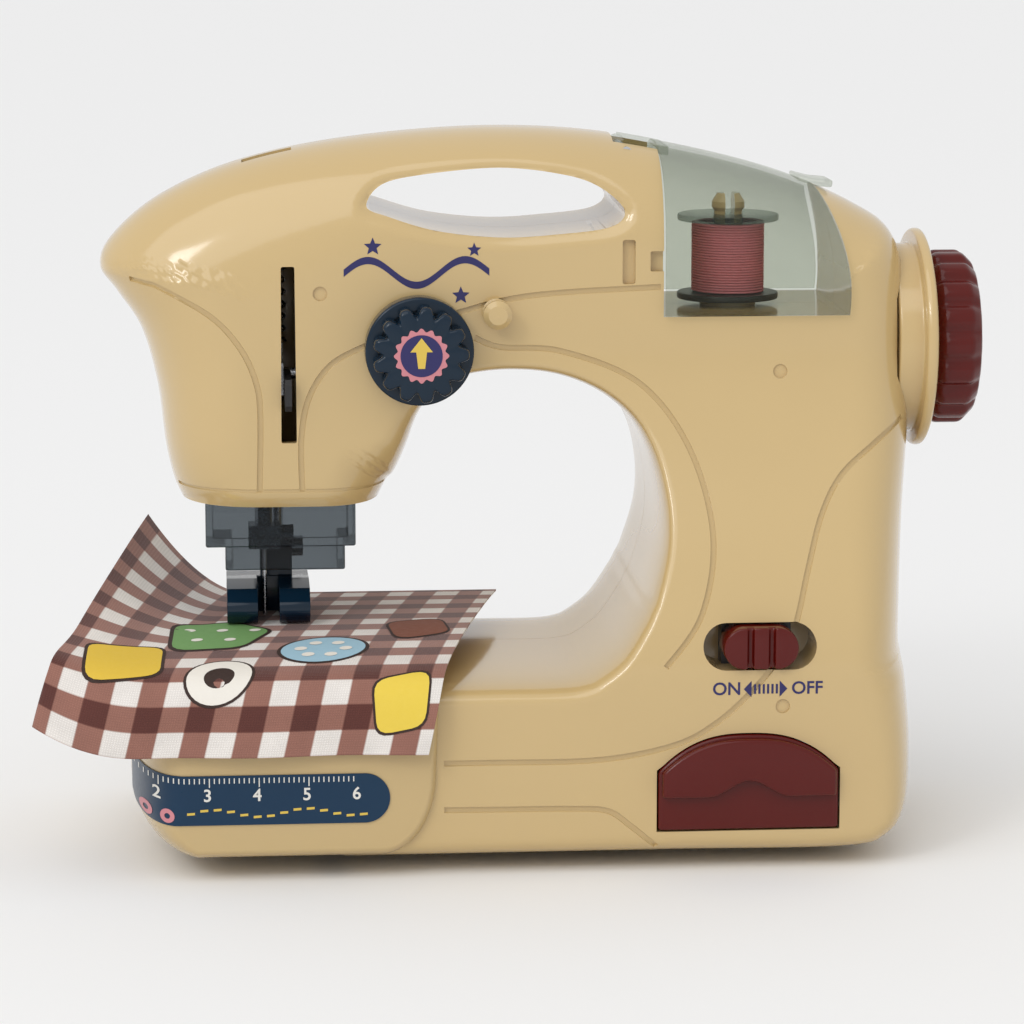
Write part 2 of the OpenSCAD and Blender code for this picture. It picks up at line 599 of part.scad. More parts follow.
// Clear finger guard: a wide frame under the head and a narrower one below it, open at the back
guard_t = 1.5;
guard_z = head_z - 8.7;
module guard_frame(x0, x1, y0, z0, z1) {
  difference() {
    block([x0, y0, z0], [x1, -2, z1]);
    block([x0 + guard_t, y0 + guard_t, z0 - 1], [x1 - guard_t, 10, z1 + 1]);
  }
}
module needle_guard() {
  mid = (head_left + head_right) / 2;
  color(smoke) {
    guard_frame(mid - 16, mid + 15.4, -16, guard_z, head_z);
    difference() {
      block([mid - 16, -16, guard_z - guard_t / 2], [mid + 15.4, -2, guard_z + guard_t / 2]);
      block([mid - 11.9 + guard_t, -14 + guard_t, 0], [mid + 13.2 - guard_t, 10, 200]);
    }
    guard_frame(mid - 11.9, mid + 13.2, -14, guard_z - 6.1, guard_z);
  }
}

// Needle plate and feed dog
module needle_plate() {
  color(steel) difference() {
    block([plate_x - plate_w / 2 + fit_gap, -plate_d / 2 + fit_gap, pod_top - plate_t],
      [plate_x + plate_w / 2 - fit_gap, plate_d / 2 - fit_gap, pod_top]);
    rod_z(0, 200, 1.4, needle_x, 0);
    for (s = [-1, 1]) block([needle_x + s * 4.5 - 1.3, -8, 0], [needle_x + s * 4.5 + 1.3, 8, 200]);
  }
}
feed_z = pod_top - 3.6;
module feed_dog() {
  color(steel) {
    difference() {
      block([needle_x - 6.2, -5.5, feed_z - 2], [needle_x + 9.5, 5.5, feed_z]);
      block([needle_x - 2.2, -3.5, 0], [needle_x + 2.2, 3.5, 200]);
    }
    for (s = [-1, 1]) along_x(needle_x + s * 4.5 - 0.8, needle_x + s * 4.5 + 0.8)
      polygon(concat([[-5.5, feed_z - 1], [5.5, feed_z - 1]],
        [for (i = [0:9]) each [[5.5 - i * 1.1, pod_top - 0.1], [4.4 - i * 1.1, pod_top - 0.7]]]));
    block([needle_x + 6.5, -2, lower_z + 6.1], [needle_x + 9.5, 2, feed_z - 1]);
  }
}

// Main shaft and drive
press_gap = 0.02;
module lathe_x(p, z) { translate([0, 0, z]) rotate([0, 90, 0]) rotate_extrude() polygon(p); }
module lathe_y(p, x, z) { translate([x, 0, z]) rotate([90, 0, 0]) rotate_extrude() polygon(p); }
module lathe_z(p, x) { translate([x, 0, 0]) rotate_extrude() polygon(p); }
module ring_x(x0, x1, r, bore, z) {
  difference() {
    rod_x(x0, x1, r, 0, z);
    rod_x(x0 - 1, x1 + 1, bore, 0, z);
  }
}
flange_x = body_right + 0.9;
flange_r = collar_d / 2;
web_x = flange_x + 2.6 - bush_l;
wheel_x = flange_x + 3.2;
module wheel_collar() {
  color(shell_beige) lathe_x([
    [neck_r - 2, neck_x], [neck_r, neck_x], [neck_r, flange_x], [flange_r - 0.8, flange_x],
    [flange_r, flange_x + 0.8], [flange_r, flange_x + 1.8], [flange_r - 0.8, flange_x + 2.6],
    [bush_r + press_gap, flange_x + 2.6], [bush_r + press_gap, web_x], [neck_r - 2, web_x]
  ], shaft_z);
}
flutes = 18;
module hand_wheel() {
  r = wheel_d / 2;
  color(deep_red) difference() {
    lathe_x([
      [shaft_r + press_gap, wheel_x], [r - 1.2, wheel_x], [r, wheel_x + 1.2], [r, wheel_x + wheel_w - 1.6],
      [r - 1.6, wheel_x + wheel_w], [r - 4.4, wheel_x + wheel_w], [r - 5.6, wheel_x + wheel_w - 1.6],
      [shaft_r + press_gap, wheel_x + wheel_w - 1.6]
    ], shaft_z);
    for (i = [0:flutes - 1]) let (a = 360 * i / flutes)
      rod_x(wheel_x - 1, wheel_x + wheel_w + 1, 1.7, (r + 0.7) * sin(a), shaft_z + (r + 0.7) * cos(a), $fn = 24);
  }
}
crank_x = needle_x + 7;
module main_shaft() { color(steel) rod_x(crank_x, wheel_x + wheel_w - 1.8, shaft_r, 0, shaft_z); }
module shaft_bushes() {
  color(brass) for (x = [head_bush_x, web_x]) ring_x(x, x + bush_l, bush_r, shaft_r + run_gap, shaft_z);
}
function teeth(n, turn) =
  let (p = gear_module * n / 2, step = 360 / n, low = p - 1.2 * gear_module, tip = p + 0.85 * gear_module)
  [for (i = [0:n - 1], q = [[-0.29, low], [-0.12, tip], [0.12, tip], [0.29, low]])
    let (a = turn + step * (i + q[0])) q[1] * [cos(a), sin(a)]];
module drive_gear() {
  color("#e9e6dc") difference() {
    translate([0, 0, shaft_z]) along_x(gear_x, gear_x + 3) polygon(teeth(gear_teeth, -90));
    rod_x(gear_x - 1, gear_x + 4, shaft_r + press_gap, 0, shaft_z);
  }
}
module motor_pinion() {
  color(brass) {
    translate([0, 0, motor_z]) along_x(gear_x - 0.4, gear_x + 3) polygon(teeth(pinion_teeth, 90 + 180 / pinion_teeth));
    rod_x(motor_x + 14, gear_x, 1, 0, motor_z);
  }
}
module motor() {
  color(steel) difference() {
    union() {
      rod_x(motor_x, motor_x + motor_l, motor_d / 2, 0, motor_z);
      rod_x(motor_x + motor_l, motor_x + motor_l + 1.6, 3, 0, motor_z);
    }
    rod_x(motor_x + 13.5, motor_x + motor_l + 5, 1 + run_gap, 0, motor_z);
  }
}
module crank_disc() {
  color(steel) {
    ring_x(crank_x, crank_x + 3, crank_r + 2.5, shaft_r + press_gap, shaft_z);
    rod_x(crank_x - 2.4, crank_x + 1, 1.2, 0, shaft_z - crank_r);
  }
}
pulley_r = pulley_d / 2;
belt_x = pulley_x + pulley_w / 2;
module pulley(z) {
  difference() {
    union() {
      rod_x(pulley_x, pulley_x + pulley_w, pulley_r, 0, z);
      for (x = [pulley_x, pulley_x + pulley_w - 0.6]) rod_x(x, x + 0.6, pulley_r + 0.55, 0, z);
    }
    rod_x(pulley_x - 1, pulley_x + pulley_w + 1, shaft_r + press_gap, 0, z);
  }
}
module upper_pulley() { color(dark) pulley(shaft_z); }
module lower_pulley() { color(dark) pulley(lower_z); }
module belt_loop(r, w) {
  for (z = [lower_z, shaft_z]) rod_x(belt_x - w / 2, belt_x + w / 2, r, 0, z);
  block([belt_x - w / 2, -r, lower_z], [belt_x + w / 2, r, shaft_z]);
}
module timing_belt() {
  color(dark) difference() {
    belt_loop(pulley_r + 0.6, 3.2);
    belt_loop(pulley_r + 0.1, 5);
  }
}
module lower_shaft() { color(steel) rod_x(needle_x - 5, pulley_x + pulley_w + 1, shaft_r, 0, lower_z); }
module lower_bushes() {
  color(brass) for (x = [base_left - 1, lower_bush_x]) ring_x(x, x + bush_l, bush_r, shaft_r + run_gap, lower_z);
}
module feed_cam() {
  color(steel) difference() {
    rod_x(needle_x + 6, needle_x + 9, 4, 0, lower_z + 1.2);
    rod_x(needle_x + 5, needle_x + 10, shaft_r + press_gap, 0, lower_z);
  }
}
module looper() {
  color(steel) translate([0, 0, lower_z]) along_x(needle_x - 3.5, needle_x - 2) difference() {
    union() {
      circle(r = 4);
      polygon([[-2, 0], [2.5, 0], [4.5, 9], [3.6, 13.2], [0.5, 14.4], [-5, 13.4], [-8.5, 11], [-3, 11.6], [0.8, 11],
        [1.2, 9]]);
    }
    circle(r = shaft_r + press_gap);
  }
}

// Needle bar with its scotch yoke
yoke_z = shaft_z - crank_r;
yoke_half = crank_r + 3.2;
bar_low = head_z - 11.2;
module needle_bar() {
  color(steel) {
    rod_z(bar_low, guide_high_z + 2.9, needle_bar_d / 2, needle_x, 0);
    block([needle_x, -2.6, yoke_z - 3.4], [needle_x + 3, 2.6, yoke_z + 3.4]);
    difference() {
      block([needle_x + 2.2, -yoke_half, yoke_z - 3.4], [needle_x + 4.2, yoke_half, yoke_z + 3.4]);
      block([needle_x + 3.1, -yoke_half + 1.6, yoke_z - 1.5], [needle_x + 5, yoke_half - 1.6, yoke_z + 1.5]);
    }
  }
}
module take_up_lever() {
  tip = -upper_half - 3;
  color(dark) along_x(needle_x + 4.2, needle_x + 5.6) polygon([
    [-yoke_half + 0.6, yoke_z - 3.2], [-yoke_half + 0.6, yoke_z + 2.2], [-yoke_half - 2, yoke_z + 2.4],
    [tip + 1, yoke_z + 2], [tip, yoke_z + 1], [tip, yoke_z - 3.4], [tip + 1, yoke_z - 4.6],
    [-yoke_half - 2, yoke_z - 4.4]
  ]);
}
clamp_z = bar_low - 1;
module needle_clamp() {
  color(steel) difference() {
    block([needle_x - 3.4, -3.2, clamp_z], [needle_x + 3.4, 3.2, clamp_z + 5]);
    rod_z(bar_low, clamp_z + 9, needle_bar_d / 2 + press_gap, needle_x, 0);
    rod_z(0, clamp_z + 3, needle_d / 2 + press_gap, needle_x, 0);
    rod_x(needle_x + 1, needle_x + 9, 0.9 + press_gap, 0, clamp_z + 2.6);
  }
}
module clamp_screw() {
  color(steel) difference() {
    union() {
      rod_x(needle_x + needle_bar_d / 2 + 0.05, needle_x + 3.6, 0.9, 0, clamp_z + 2.6);
      rod_x(needle_x + 3.4, needle_x + 6.2, 2.1, 0, clamp_z + 2.6);
    }
    block([needle_x + 5.6, -0.35, 0], [needle_x + 9, 0.35, 200]);
  }
}
needle_tip = pod_top - 3.4;
module needle() {
  color(steel) {
    rod_z(needle_tip + 4, bar_low, needle_d / 2, needle_x, 0);
    translate([needle_x, 0, needle_tip]) cylinder(r1 = 0.06, r2 = needle_d / 2, h = 4);
  }
}

// Presser bar, its spring, foot and lifter
block_z = lifter_z + lifter_r - lifter_throw * sin(45) + move_gap;
module presser_bar() {
  color(steel) {
    rod_z(head_z - 16.2, guide_high_z + 5, presser_bar_d / 2, presser_x, presser_y);
    block([lifter_x - 5, presser_y - 1.5, block_z], [presser_x + 2, presser_y + 1.5, block_z + 3.5]);
  }
}
// A round wire along points p, with n sides; the ends are square to their first and last steps
function unit(v) = v / norm(v);
module wire(p, r, n) {
  m = len(p);
  rings = [for (i = [0:m - 1])
    let (
      t = unit(p[min(i + 1, m - 1)] - p[max(i - 1, 0)]),
      a = unit(cross(t, abs(t[2]) < 0.9 ? [0, 0, 1] : [1, 0, 0])), b = cross(t, a)
    )
    [for (j = [0:n - 1]) p[i] + r * (cos(360 * j / n) * a + sin(360 * j / n) * b)]];
  loft(rings, flip = true);
}
spring_turns = 7;
spring_r = presser_bar_d / 2 + 0.9;
module presser_spring() {
  low = block_z + 3.5 + 0.35;
  high = guide_high_z - 0.35;
  color(steel) wire([for (i = [0:spring_turns * 12]) let (a = 30 * i, z = mix(low, high, i / (spring_turns * 12)))
    [presser_x + spring_r * cos(a), presser_y + spring_r * sin(a), z]], 0.32, 5);
}
foot_z = pod_top + 1;
module presser_foot() {
  half = foot_w / 2;
  mid = needle_x + 0.6;
  color(navy) difference() {
    union() {
      for (s = [-1, 1]) along_x(mid + s * (half + 2.3) / 2 - (half - 2.3) / 2, mid + s * (half + 2.3) / 2 + (half - 2.3) / 2)
        polygon([[6, foot_z], [6, foot_z + 7.5], [-2, foot_z + 8], [-10, foot_z + 7.2], [-13.2, foot_z + 4.6],
          [-13.4, foot_z + 2.4], [-11, foot_z]]);
      block([mid - half, 3, foot_z], [mid + half, 9.5, foot_z + 7.5]);
      block([presser_x - 3.4, 3.8, foot_z + 2], [presser_x + 3.4, presser_y + 3.6, foot_z + 15]);
    }
    rod_z(head_z - 16.2, 200, presser_bar_d / 2 + press_gap, presser_x, presser_y);
    rod_x(presser_x + 1, presser_x + 9, 0.9 + press_gap, presser_y, foot_z + 12);
  }
}
module foot_screw() {
  color(steel) difference() {
    union() {
      rod_x(presser_x + presser_bar_d / 2 + 0.1, presser_x + 3.6, 0.9, presser_y, foot_z + 12);
      rod_x(presser_x + 3.4, presser_x + 6, 2.2, presser_y, foot_z + 12);
    }
    block([presser_x + 5.4, presser_y - 0.35, 0], [presser_x + 9, presser_y + 0.35, 200]);
  }
}
lever_l = 16;
lever_turn = -110;
module presser_lever() {
  out = half_depth([lifter_x, lifter_z], 1) + 0.6;
  color("#d9cfba") {
    rod_y(presser_y - 1.5, presser_y + 1.5, lifter_r, lifter_x + lifter_throw * cos(45), lifter_z - lifter_throw * sin(45));
    rod_y(presser_y + 1.5, out + 3, 3, lifter_x, lifter_z);
    translate([lifter_x, 0, lifter_z]) rotate([0, -lever_turn, 0]) {
      rod_y(out, out + 3, 4.4, 0, 0);
      block([0, out, -2.6], [lever_l, out + 3, 2.6]);
      rod_y(out, out + 3, 3.4, lever_l, 0);
    }
  }
}

// Tension dial, stud and thread post on the front
dial_z = shaft_z + 1.5;
dial_y = upper_half + 0.5;
lobes = 13;
module tension_dial() {
  r = dial_d / 2;
  top = dial_y + dial_h;
  color(navy) difference() {
    union() {
      lathe_y([[0, dial_y], [r - 0.5, dial_y], [r, dial_y + 0.5], [r, dial_y + 4.6], [r - 0.8, dial_y + 5.4],
        [0, dial_y + 5.4]], dial_x, dial_z);
      lathe_y([[0, dial_y + 5], [r - 1.4, dial_y + 5], [r - 1.4, top - 1], [r - 2.4, top], [0, top]], dial_x, dial_z);
    }
    for (i = [0:lobes - 1]) let (a = 360 * (i + 0.5) / lobes)
      rod_y(-top - 1, -dial_y - 5.4, 1.5, dial_x + (r - 1) * sin(a), dial_z + (r - 1) * cos(a), $fn = 24);
    rod_y(-dial_y - 9, 0, 1.6 + run_gap, dial_x, dial_z);
  }
}
module dial_label() {
  top = dial_y + dial_h;
  color("#e58aa0") rod_y(-top - 0.2, -top, dial_d / 2 - 5.8, dial_x, dial_z);
}
module tension_stud() {
  color(steel) {
    rod_y(-dial_y + 0.2, -upper_half + wall + 1.5, 3, dial_x, dial_z);
    rod_y(-dial_y - 8.6, -upper_half + 1, 1.6, dial_x, dial_z);
    rod_y(-upper_half + wall + 0.4, -upper_half + wall + 1.9, 4.6, dial_x, dial_z);
  }
}
module thread_post() {
  r = post_d / 2;
  z = shaft_z + 8.8;
  y = half_depth([post_x, z], -1);
  color(shell_beige) {
    rod_y(-y - 1, -y + wall + 1.6, 1.6, post_x, z);
    lathe_y([[0, y + 0.05], [r, y + 0.05], [r, y + 0.8], [r - 0.9, y + 1.2], [r - 1, y + 3], [r, y + 3.6],
      [r, y + 5], [r - 1, y + 5.9], [0, y + 6]], post_x, z);
  }
}

// Spool pin, bobbin and its thread
spool_z = tray_z + 1.2;
module spool_pin() {
  color(shell_beige) difference() {
    lathe_z([[0, tray_z], [6, tray_z], [6, spool_z - 0.1], [3, spool_z - 0.1], [3, spool_z + bobbin_h + 0.6],
      [3.5, spool_z + bobbin_h + 1.4], [3.5, spool_z + bobbin_h + 2.6], [2.4, spool_z + bobbin_h + 4.4],
      [0, spool_z + bobbin_h + 4.4]], spool_x);
    block([spool_x - 1, -10, spool_z + 4], [spool_x + 1, 10, 200]);
  }
}
flange_t = 1.4;
module bobbin() {
  color(smoke) lathe_z([
    [3 + run_gap, spool_z + flange_t], [core_d / 2, spool_z + flange_t], [core_d / 2, spool_z + bobbin_h - flange_t],
    [bobbin_d / 2, spool_z + bobbin_h - flange_t], [bobbin_d / 2, spool_z + bobbin_h], [3 + run_gap, spool_z + bobbin_h]
  ], spool_x);
}
module bobbin_base() {
  color(dark) lathe_z([[3 + run_gap, spool_z], [bobbin_d / 2, spool_z], [bobbin_d / 2, spool_z + flange_t],
    [3 + run_gap, spool_z + flange_t]], spool_x);
}
wind_r = core_d / 2 + thread_d / 2 + 0.1;
wind_low = spool_z + flange_t + 0.8;
wind_pitch = (bobbin_h - 2 * flange_t - 1.6) / thread_loops;
wind_n = thread_loops * 24;
function wind_at(i) =
  let (
    e = min(i, wind_n - i), lift = e < 8 ? 0.75 * pow(1 - e / 8, 2) : 0, r = wind_r + lift, a = 15 * i
  )
  [spool_x + r * cos(a), r * sin(a), wind_low + wind_pitch * i / 24];
function wind_end(i, s) =
  let (p = wind_at(i), d = unit([p[0] - spool_x, p[1], 0])) [for (q = s) [spool_x, 0, p[2]] + d * q];
wind_path = concat(
  wind_end(0, [core_d / 2 + 0.01, core_d / 2 + 0.3, core_d / 2 + 0.62]),
  [for (i = [1:wind_n - 1]) wind_at(i)],
  wind_end(wind_n, [core_d / 2 + 0.62, core_d / 2 + 0.3, core_d / 2 + 0.01])
);
wind_gap = min([for (i = [0:1:wind_n - 22]) min([for (j = [i + 20:1:min(i + 30, wind_n - 1)])
  norm(wind_path[i] - wind_path[j])])]) - thread_d;
echo(least_thread_gap = wind_gap);
module thread_winding() { color("#d8568a") wire(wind_path, thread_d / 2, 6); }

// A sheet between two grids of points, top and low, with one cell left out where a hole is asked for
module sheet(top, low, hole = [-1, -1]) {
  m = len(top);
  n = len(top[0]);
  t = function (i, j) i * n + j;
  b = function (i, j) m * n + i * n + j;
  cells = [for (i = [0:m - 2], j = [0:n - 2]) if (!(i == hole[0] && j == hole[1])) [i, j]];
  skins = [for (c = cells) let (i = c[0], j = c[1]) each [
    [t(i, j), t(i + 1, j), t(i + 1, j + 1)], [t(i, j), t(i + 1, j + 1), t(i, j + 1)],
    [b(i, j), b(i + 1, j + 1), b(i + 1, j)], [b(i, j), b(i, j + 1), b(i + 1, j + 1)]]];
  rim = concat(
    [for (i = [0:m - 2]) each [[t(i, 0), b(i, 0), b(i + 1, 0)], [t(i, 0), b(i + 1, 0), t(i + 1, 0)],
      [t(i, n - 1), t(i + 1, n - 1), b(i + 1, n - 1)], [t(i, n - 1), b(i + 1, n - 1), b(i, n - 1)]]],
    [for (j = [0:n - 2]) each [[t(0, j), b(0, j + 1), b(0, j)], [t(0, j), t(0, j + 1), b(0, j + 1)],
      [t(m - 1, j), b(m - 1, j), b(m - 1, j + 1)], [t(m - 1, j), b(m - 1, j + 1), t(m - 1, j + 1)]]]);
  h = hole[0];
  k = hole[1];
  inner = h < 0 ? [] : [
    [t(h, k), b(h + 1, k), b(h, k)], [t(h, k), t(h + 1, k), b(h + 1, k)],
    [t(h, k + 1), b(h, k + 1), b(h + 1, k + 1)], [t(h, k + 1), b(h + 1, k + 1), t(h + 1, k + 1)],
    [t(h, k), b(h, k), b(h, k + 1)], [t(h, k), b(h, k + 1), t(h, k + 1)],
    [t(h + 1, k), b(h + 1, k + 1), b(h + 1, k)], [t(h + 1, k), t(h + 1, k + 1), b(h + 1, k + 1)]];
  polyhedron(
    points = concat([for (r = top) each r], [for (r = low) each r]),
    faces = [for (f = concat(skins, rim, inner)) [f[2], f[1], f[0]]]
  );
}

// Spool lid: it stands a little proud of the shells, so that it swings clear of them
lid_proud = lid_wall + 2 * move_gap;
lid_rise = [0, 0.12, 0.26, 0.42, 0.58, 0.72, 0.83, 0.91, 0.96, 0.985, 1];
function lid_point(u, t, side) =
  let (x = lid_x(u, t), z = mix(lid_low, top_at(x), t))
  [x, side * (half_depth([x, z], side) * (t < 1 ? 1 : 0) + lid_proud), z];
function lid_row(u) =
  concat([for (t = lid_rise) lid_point(u, t, -1)], [for (i = [len(lid_rise) - 1:-1:0]) lid_point(u, lid_rise[i], 1)]);
function lid_inner(row) =
  [for (j = [0:len(row) - 1])
    let (d = row[min(j + 1, len(row) - 1)] - row[max(j - 1, 0)], n = unit([0, d[2], -d[1]]))
    row[j] + lid_wall * n];
module spool_lid() {
  outer = [for (u = [0:0.125:1]) lid_row(u)];
  inner = [for (r = outer) lid_inner(r)];
  crown = top_at(lid_left);
  color(smoke) difference() {
    union() {
      sheet(outer, inner);
      rod_y(-hinge_half, hinge_half, 2.2, hinge_x, hinge_z);
      for (i = [0:5]) hull() {
        for (k = [i, i + 1]) let (x = mix(hinge_x, lid_left + 2.1, k / 6))
          block([x, -hinge_half, min(hinge_z, top_at(x) - 2.2)], [x + 0.3, hinge_half, top_at(x) - 0.2]);
      }
      // Lift tab
      for (s = [-1, 1]) hull() {
        let (x = lid_right - lid_lean - 3) block([x, min(0, s * 8), top_at(x) - 0.2], [x + 0.5, max(0, s * 8), top_at(x) + 0.9]);
        let (x = lid_right - 0.6) block([x, min(0, s * 5), top_at(x) + 1.2], [x + 0.5, max(0, s * 5), top_at(x) + 2.4]);
      }
    }
    rod_y(-hinge_half - 1, hinge_half + 1, 1 + run_gap, hinge_x, hinge_z);
  }
}
module lid_pin() { color(steel) rod_y(-hinge_half - 2.8, hinge_half + 2.8, 1, hinge_x, hinge_z); }

// Switch
knob_y = half_depth([switch_x, switch_z], -1);
module switch_knob() {
  w = (knob_w - knob_h) / 2;
  color(deep_red) difference() {
    union() {
      for (s = [-1, 1]) rod_y(-knob_y - 2.6, -knob_y + 6, knob_h / 2, switch_x + s * w, switch_z);
      block([switch_x - w, -knob_y - 2.6, switch_z - knob_h / 2], [switch_x + w, -knob_y + 6, switch_z + knob_h / 2]);
    }
    for (s = [-1, 1]) block([switch_x + s * 2.2 - 0.5, -knob_y - 4, 0], [switch_x + s * 2.2 + 0.5, -knob_y - 1.6, 200]);
  }
}
module switch_body() {
  color(dark) block([switch_x - knob_w / 2 + 0.5, -knob_y + 6 + move_gap, switch_z - knob_h / 2 - 1],
    [switch_x + knob_w / 2 - 0.5, -base_front + 16, switch_z + knob_h / 2 + 1]);
}

// Drawer
drawer_y = base_front + 0.4;
lip_z = drawer_z + 7.2;
function lip_low(x) = lip_z + 3.4 * smooth(1 - abs(x - drawer_x) / 8.4);
module drawer() {
  w = drawer_w / 2;
  box_y = -base_front + drawer_deep;
  color(deep_red) {
    along_y(-drawer_y, -drawer_y + 3) drawer_outline();
    along_y(-drawer_y - 2.2, -drawer_y + 0.5) polygon(concat(
      [for (i = [0:16]) let (x = drawer_x + (w - 0.7) * (1 - i / 8)) [x, drawer_crown(x) - 0.6]],
      [for (i = [0:16]) let (x = drawer_x + (w - 0.7) * (i / 8 - 1)) [x, lip_low(x)]]
    ));
    difference() {
      block([drawer_left + 1.6, -drawer_y + 2.5, drawer_z], [drawer_right - 1.6, box_y, drawer_z + 11.5]);
      block([drawer_left + 3, -drawer_y + 3, drawer_z + 1.4], [drawer_right - 3, box_y - 1.4, drawer_z + 30]);
    }
  }
}

// Batteries, contacts and door
module battery_cells() {
  color("#3f6f5a") for (i = [0:3]) let (x = cell_x0 + i * cell_pitch, up = i % 2) {
    rod_y(cell_y0 + (up == 1 ? 0 : 1.4), cell_y0 + cell_l - (up == 1 ? 1.4 : 0), cell_d / 2, x, cell_z);
    if (up == 1) rod_y(cell_y0 + cell_l - 2, cell_y0 + cell_l, 2.7, x, cell_z);
    else rod_y(cell_y0, cell_y0 + 2, 2.7, x, cell_z);
  }
}
module battery_contacts() {
  color(brass) for (y = [cell_y0 - 2.6, cell_y0 + cell_l]) for (i = [0, 2])
    block([cell_x0 + i * cell_pitch - 5, y, cell_z - 5], [cell_x0 + (i + 1) * cell_pitch + 5, y + 2.6, cell_z + 5]);
}
module battery_door() {
  x0 = base_left + 4.4;
  x1 = cell_x1 + 0.6;
  y0 = cell_y0 - 2.6;
  y1 = cell_y0 + cell_l + 2.6;
  color(shell_beige) difference() {
    union() {
      block([x0 + fit_gap, y0 + 0.4, floor_z + 0.3], [x1 - 0.3, y1 - 0.4, floor_z + wall]);
      for (y = [y0 + 6, y1 - 18]) {
        block([x0 - 1, y, floor_z + wall + 1.4], [x0 + 1.8, y + 12, floor_z + wall + 2.4]);
        block([x0 + 0.5, y, floor_z + 1], [x0 + 1.8, y + 12, floor_z + wall + 2.4]);
      }
    }
    rod_z(0, 10, screw_head_r, x1 - 6, (y0 + y1) / 2, $fn = 32);
  }
}
module shell_screws() {
  color(steel) for (s = screw_spots) difference() {
    union() {
      rod_y(-8, screw_seat_y, screw_r, s[0], s[1]);
      rod_y(screw_seat_y, screw_seat_y + 2.4, screw_head_r, s[0], s[1]);
    }
    block([s[0] - 1.7, screw_seat_y + 1.4, s[1] - 0.35], [s[0] + 1.7, screw_seat_y + 5, s[1] + 0.35]);
    block([s[0] - 0.35, screw_seat_y + 1.4, s[1] - 1.7], [s[0] + 0.35, screw_seat_y + 5, s[1] + 1.7]);
  }
}
foot_x = 62;
module rubber_feet() {
  color(dark) {
    for (y = [-14, 10]) rod_z(0, floor_z + 0.6, 4.5, -foot_x, y);
    for (y = [-23, 14]) rod_z(0, floor_z + 0.3, 4.5, foot_x, y);
  }
}

// Practice cloth: lies on the bed cover, folds over its front edge, curls up at the back left corner
cloth_lift = cloth_t / 2 + 0.25;
function over_pod(y) = pod_top + cloth_lift - 5 * (1 - pow(1 - pow(min(abs(y) / pod_front, 1), 2.4), 1 / 2.4));
cloth_back = cloth_l - 66;
cloth_path = concat(
  [for (y = [cloth_back, 25, 19, 14, 9.5, 5, 0.9, -0.9, -5, -10, -15, -20, -26, -32, -38, -43]) [y, over_pod(y)]],
  [[-pod_front + 1.4, bed_z + 2.4], [-pod_front - 0.7, bed_z + 0.4], [-pod_front - 1.8, bed_z - 2.4],
   [-pod_front - 2.2, bed_z - 5.6], [-pod_front - 2.3, bed_z - 9.4], [-pod_front - 2.2, bed_z - 13]]
);
cloth_rows = len(cloth_path);
function run_to(i) = i == 0 ? 0 : run_to(i - 1) + norm(cloth_path[i] - cloth_path[i - 1]);
cloth_at = [for (i = [0:cloth_rows - 1]) run_to(i)];
cloth_run = cloth_at[cloth_rows - 1];
function cloth_x(u, v) = mix(mix(-78, -101, v), mix(-78, -101, v) + cloth_w - 1.4 + 3.4 * v, u);
cloth_v0 = (cloth_at[6] + cloth_at[7]) / 2 / cloth_run;
cloth_u0 = (needle_x - cloth_x(0, cloth_v0)) / (cloth_x(1, cloth_v0) - cloth_x(0, cloth_v0));
cloth_columns = [0, 0.04, 0.08, 0.12, 0.16, 0.2, 0.24, 0.28, 0.33, 0.37, cloth_u0 - 0.0118, cloth_u0 + 0.0118,
  0.46, 0.53, 0.61, 0.69, 0.77, 0.85, 0.93, 1];
function cloth_point(u, i, side) =
  let (
    v = cloth_at[i] / cloth_run, p = cloth_path[i],
    d = unit(cloth_path[min(i + 1, cloth_rows - 1)] - cloth_path[max(i - 1, 0)]), n = [d[1], -d[0]],
    curl = (u < 0.28 && v < 0.85) ? 18 * pow(1 - u / 0.28, 1.8) * pow(1 - v / 0.85, 1.1) : 0,
    hang = smooth((v - 0.8) / 0.2),
    corner = u < 0.28 ? pow(1 - u / 0.28, 2) * smooth((v - 0.6) / 0.4) : 0,
    wave = hang * (0.7 + 0.7 * sin(u * 800)), h = side * cloth_t / 2
  )
  [cloth_x(u, v), p[0] + n[0] * h - wave + 5 * corner, p[1] + n[1] * h + curl + 6 * corner];
module practice_cloth() {
  grid = function (side) [for (u = cloth_columns) [for (i = [0:cloth_rows - 1]) cloth_point(u, i, side)]];
  color("#8a6a50") sheet(grid(-1), grid(1), [10, 6]);
}

front_shell();
rear_shell();
bed_cover();
ruler_label();
head_plate();
needle_guard();
needle_plate();
wheel_collar();
hand_wheel();
main_shaft();
shaft_bushes();
drive_gear();
crank_disc();
upper_pulley();
motor();
motor_pinion();
timing_belt();
lower_shaft();
lower_bushes();
lower_pulley();
looper();
feed_cam();
feed_dog();
needle_bar();
needle_clamp();
clamp_screw();
needle();
take_up_lever();
presser_bar();
presser_spring();
presser_foot();
foot_screw();
presser_lever();
tension_dial();
dial_label();
tension_stud();
thread_post();
spool_pin();
bobbin();
bobbin_base();
thread_winding();
spool_lid();
lid_pin();
switch_knob();
switch_body();
drawer();
battery_cells();
battery_contacts();
battery_door();
shell_screws();
rubber_feet();
practice_cloth();
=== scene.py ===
import json
import math

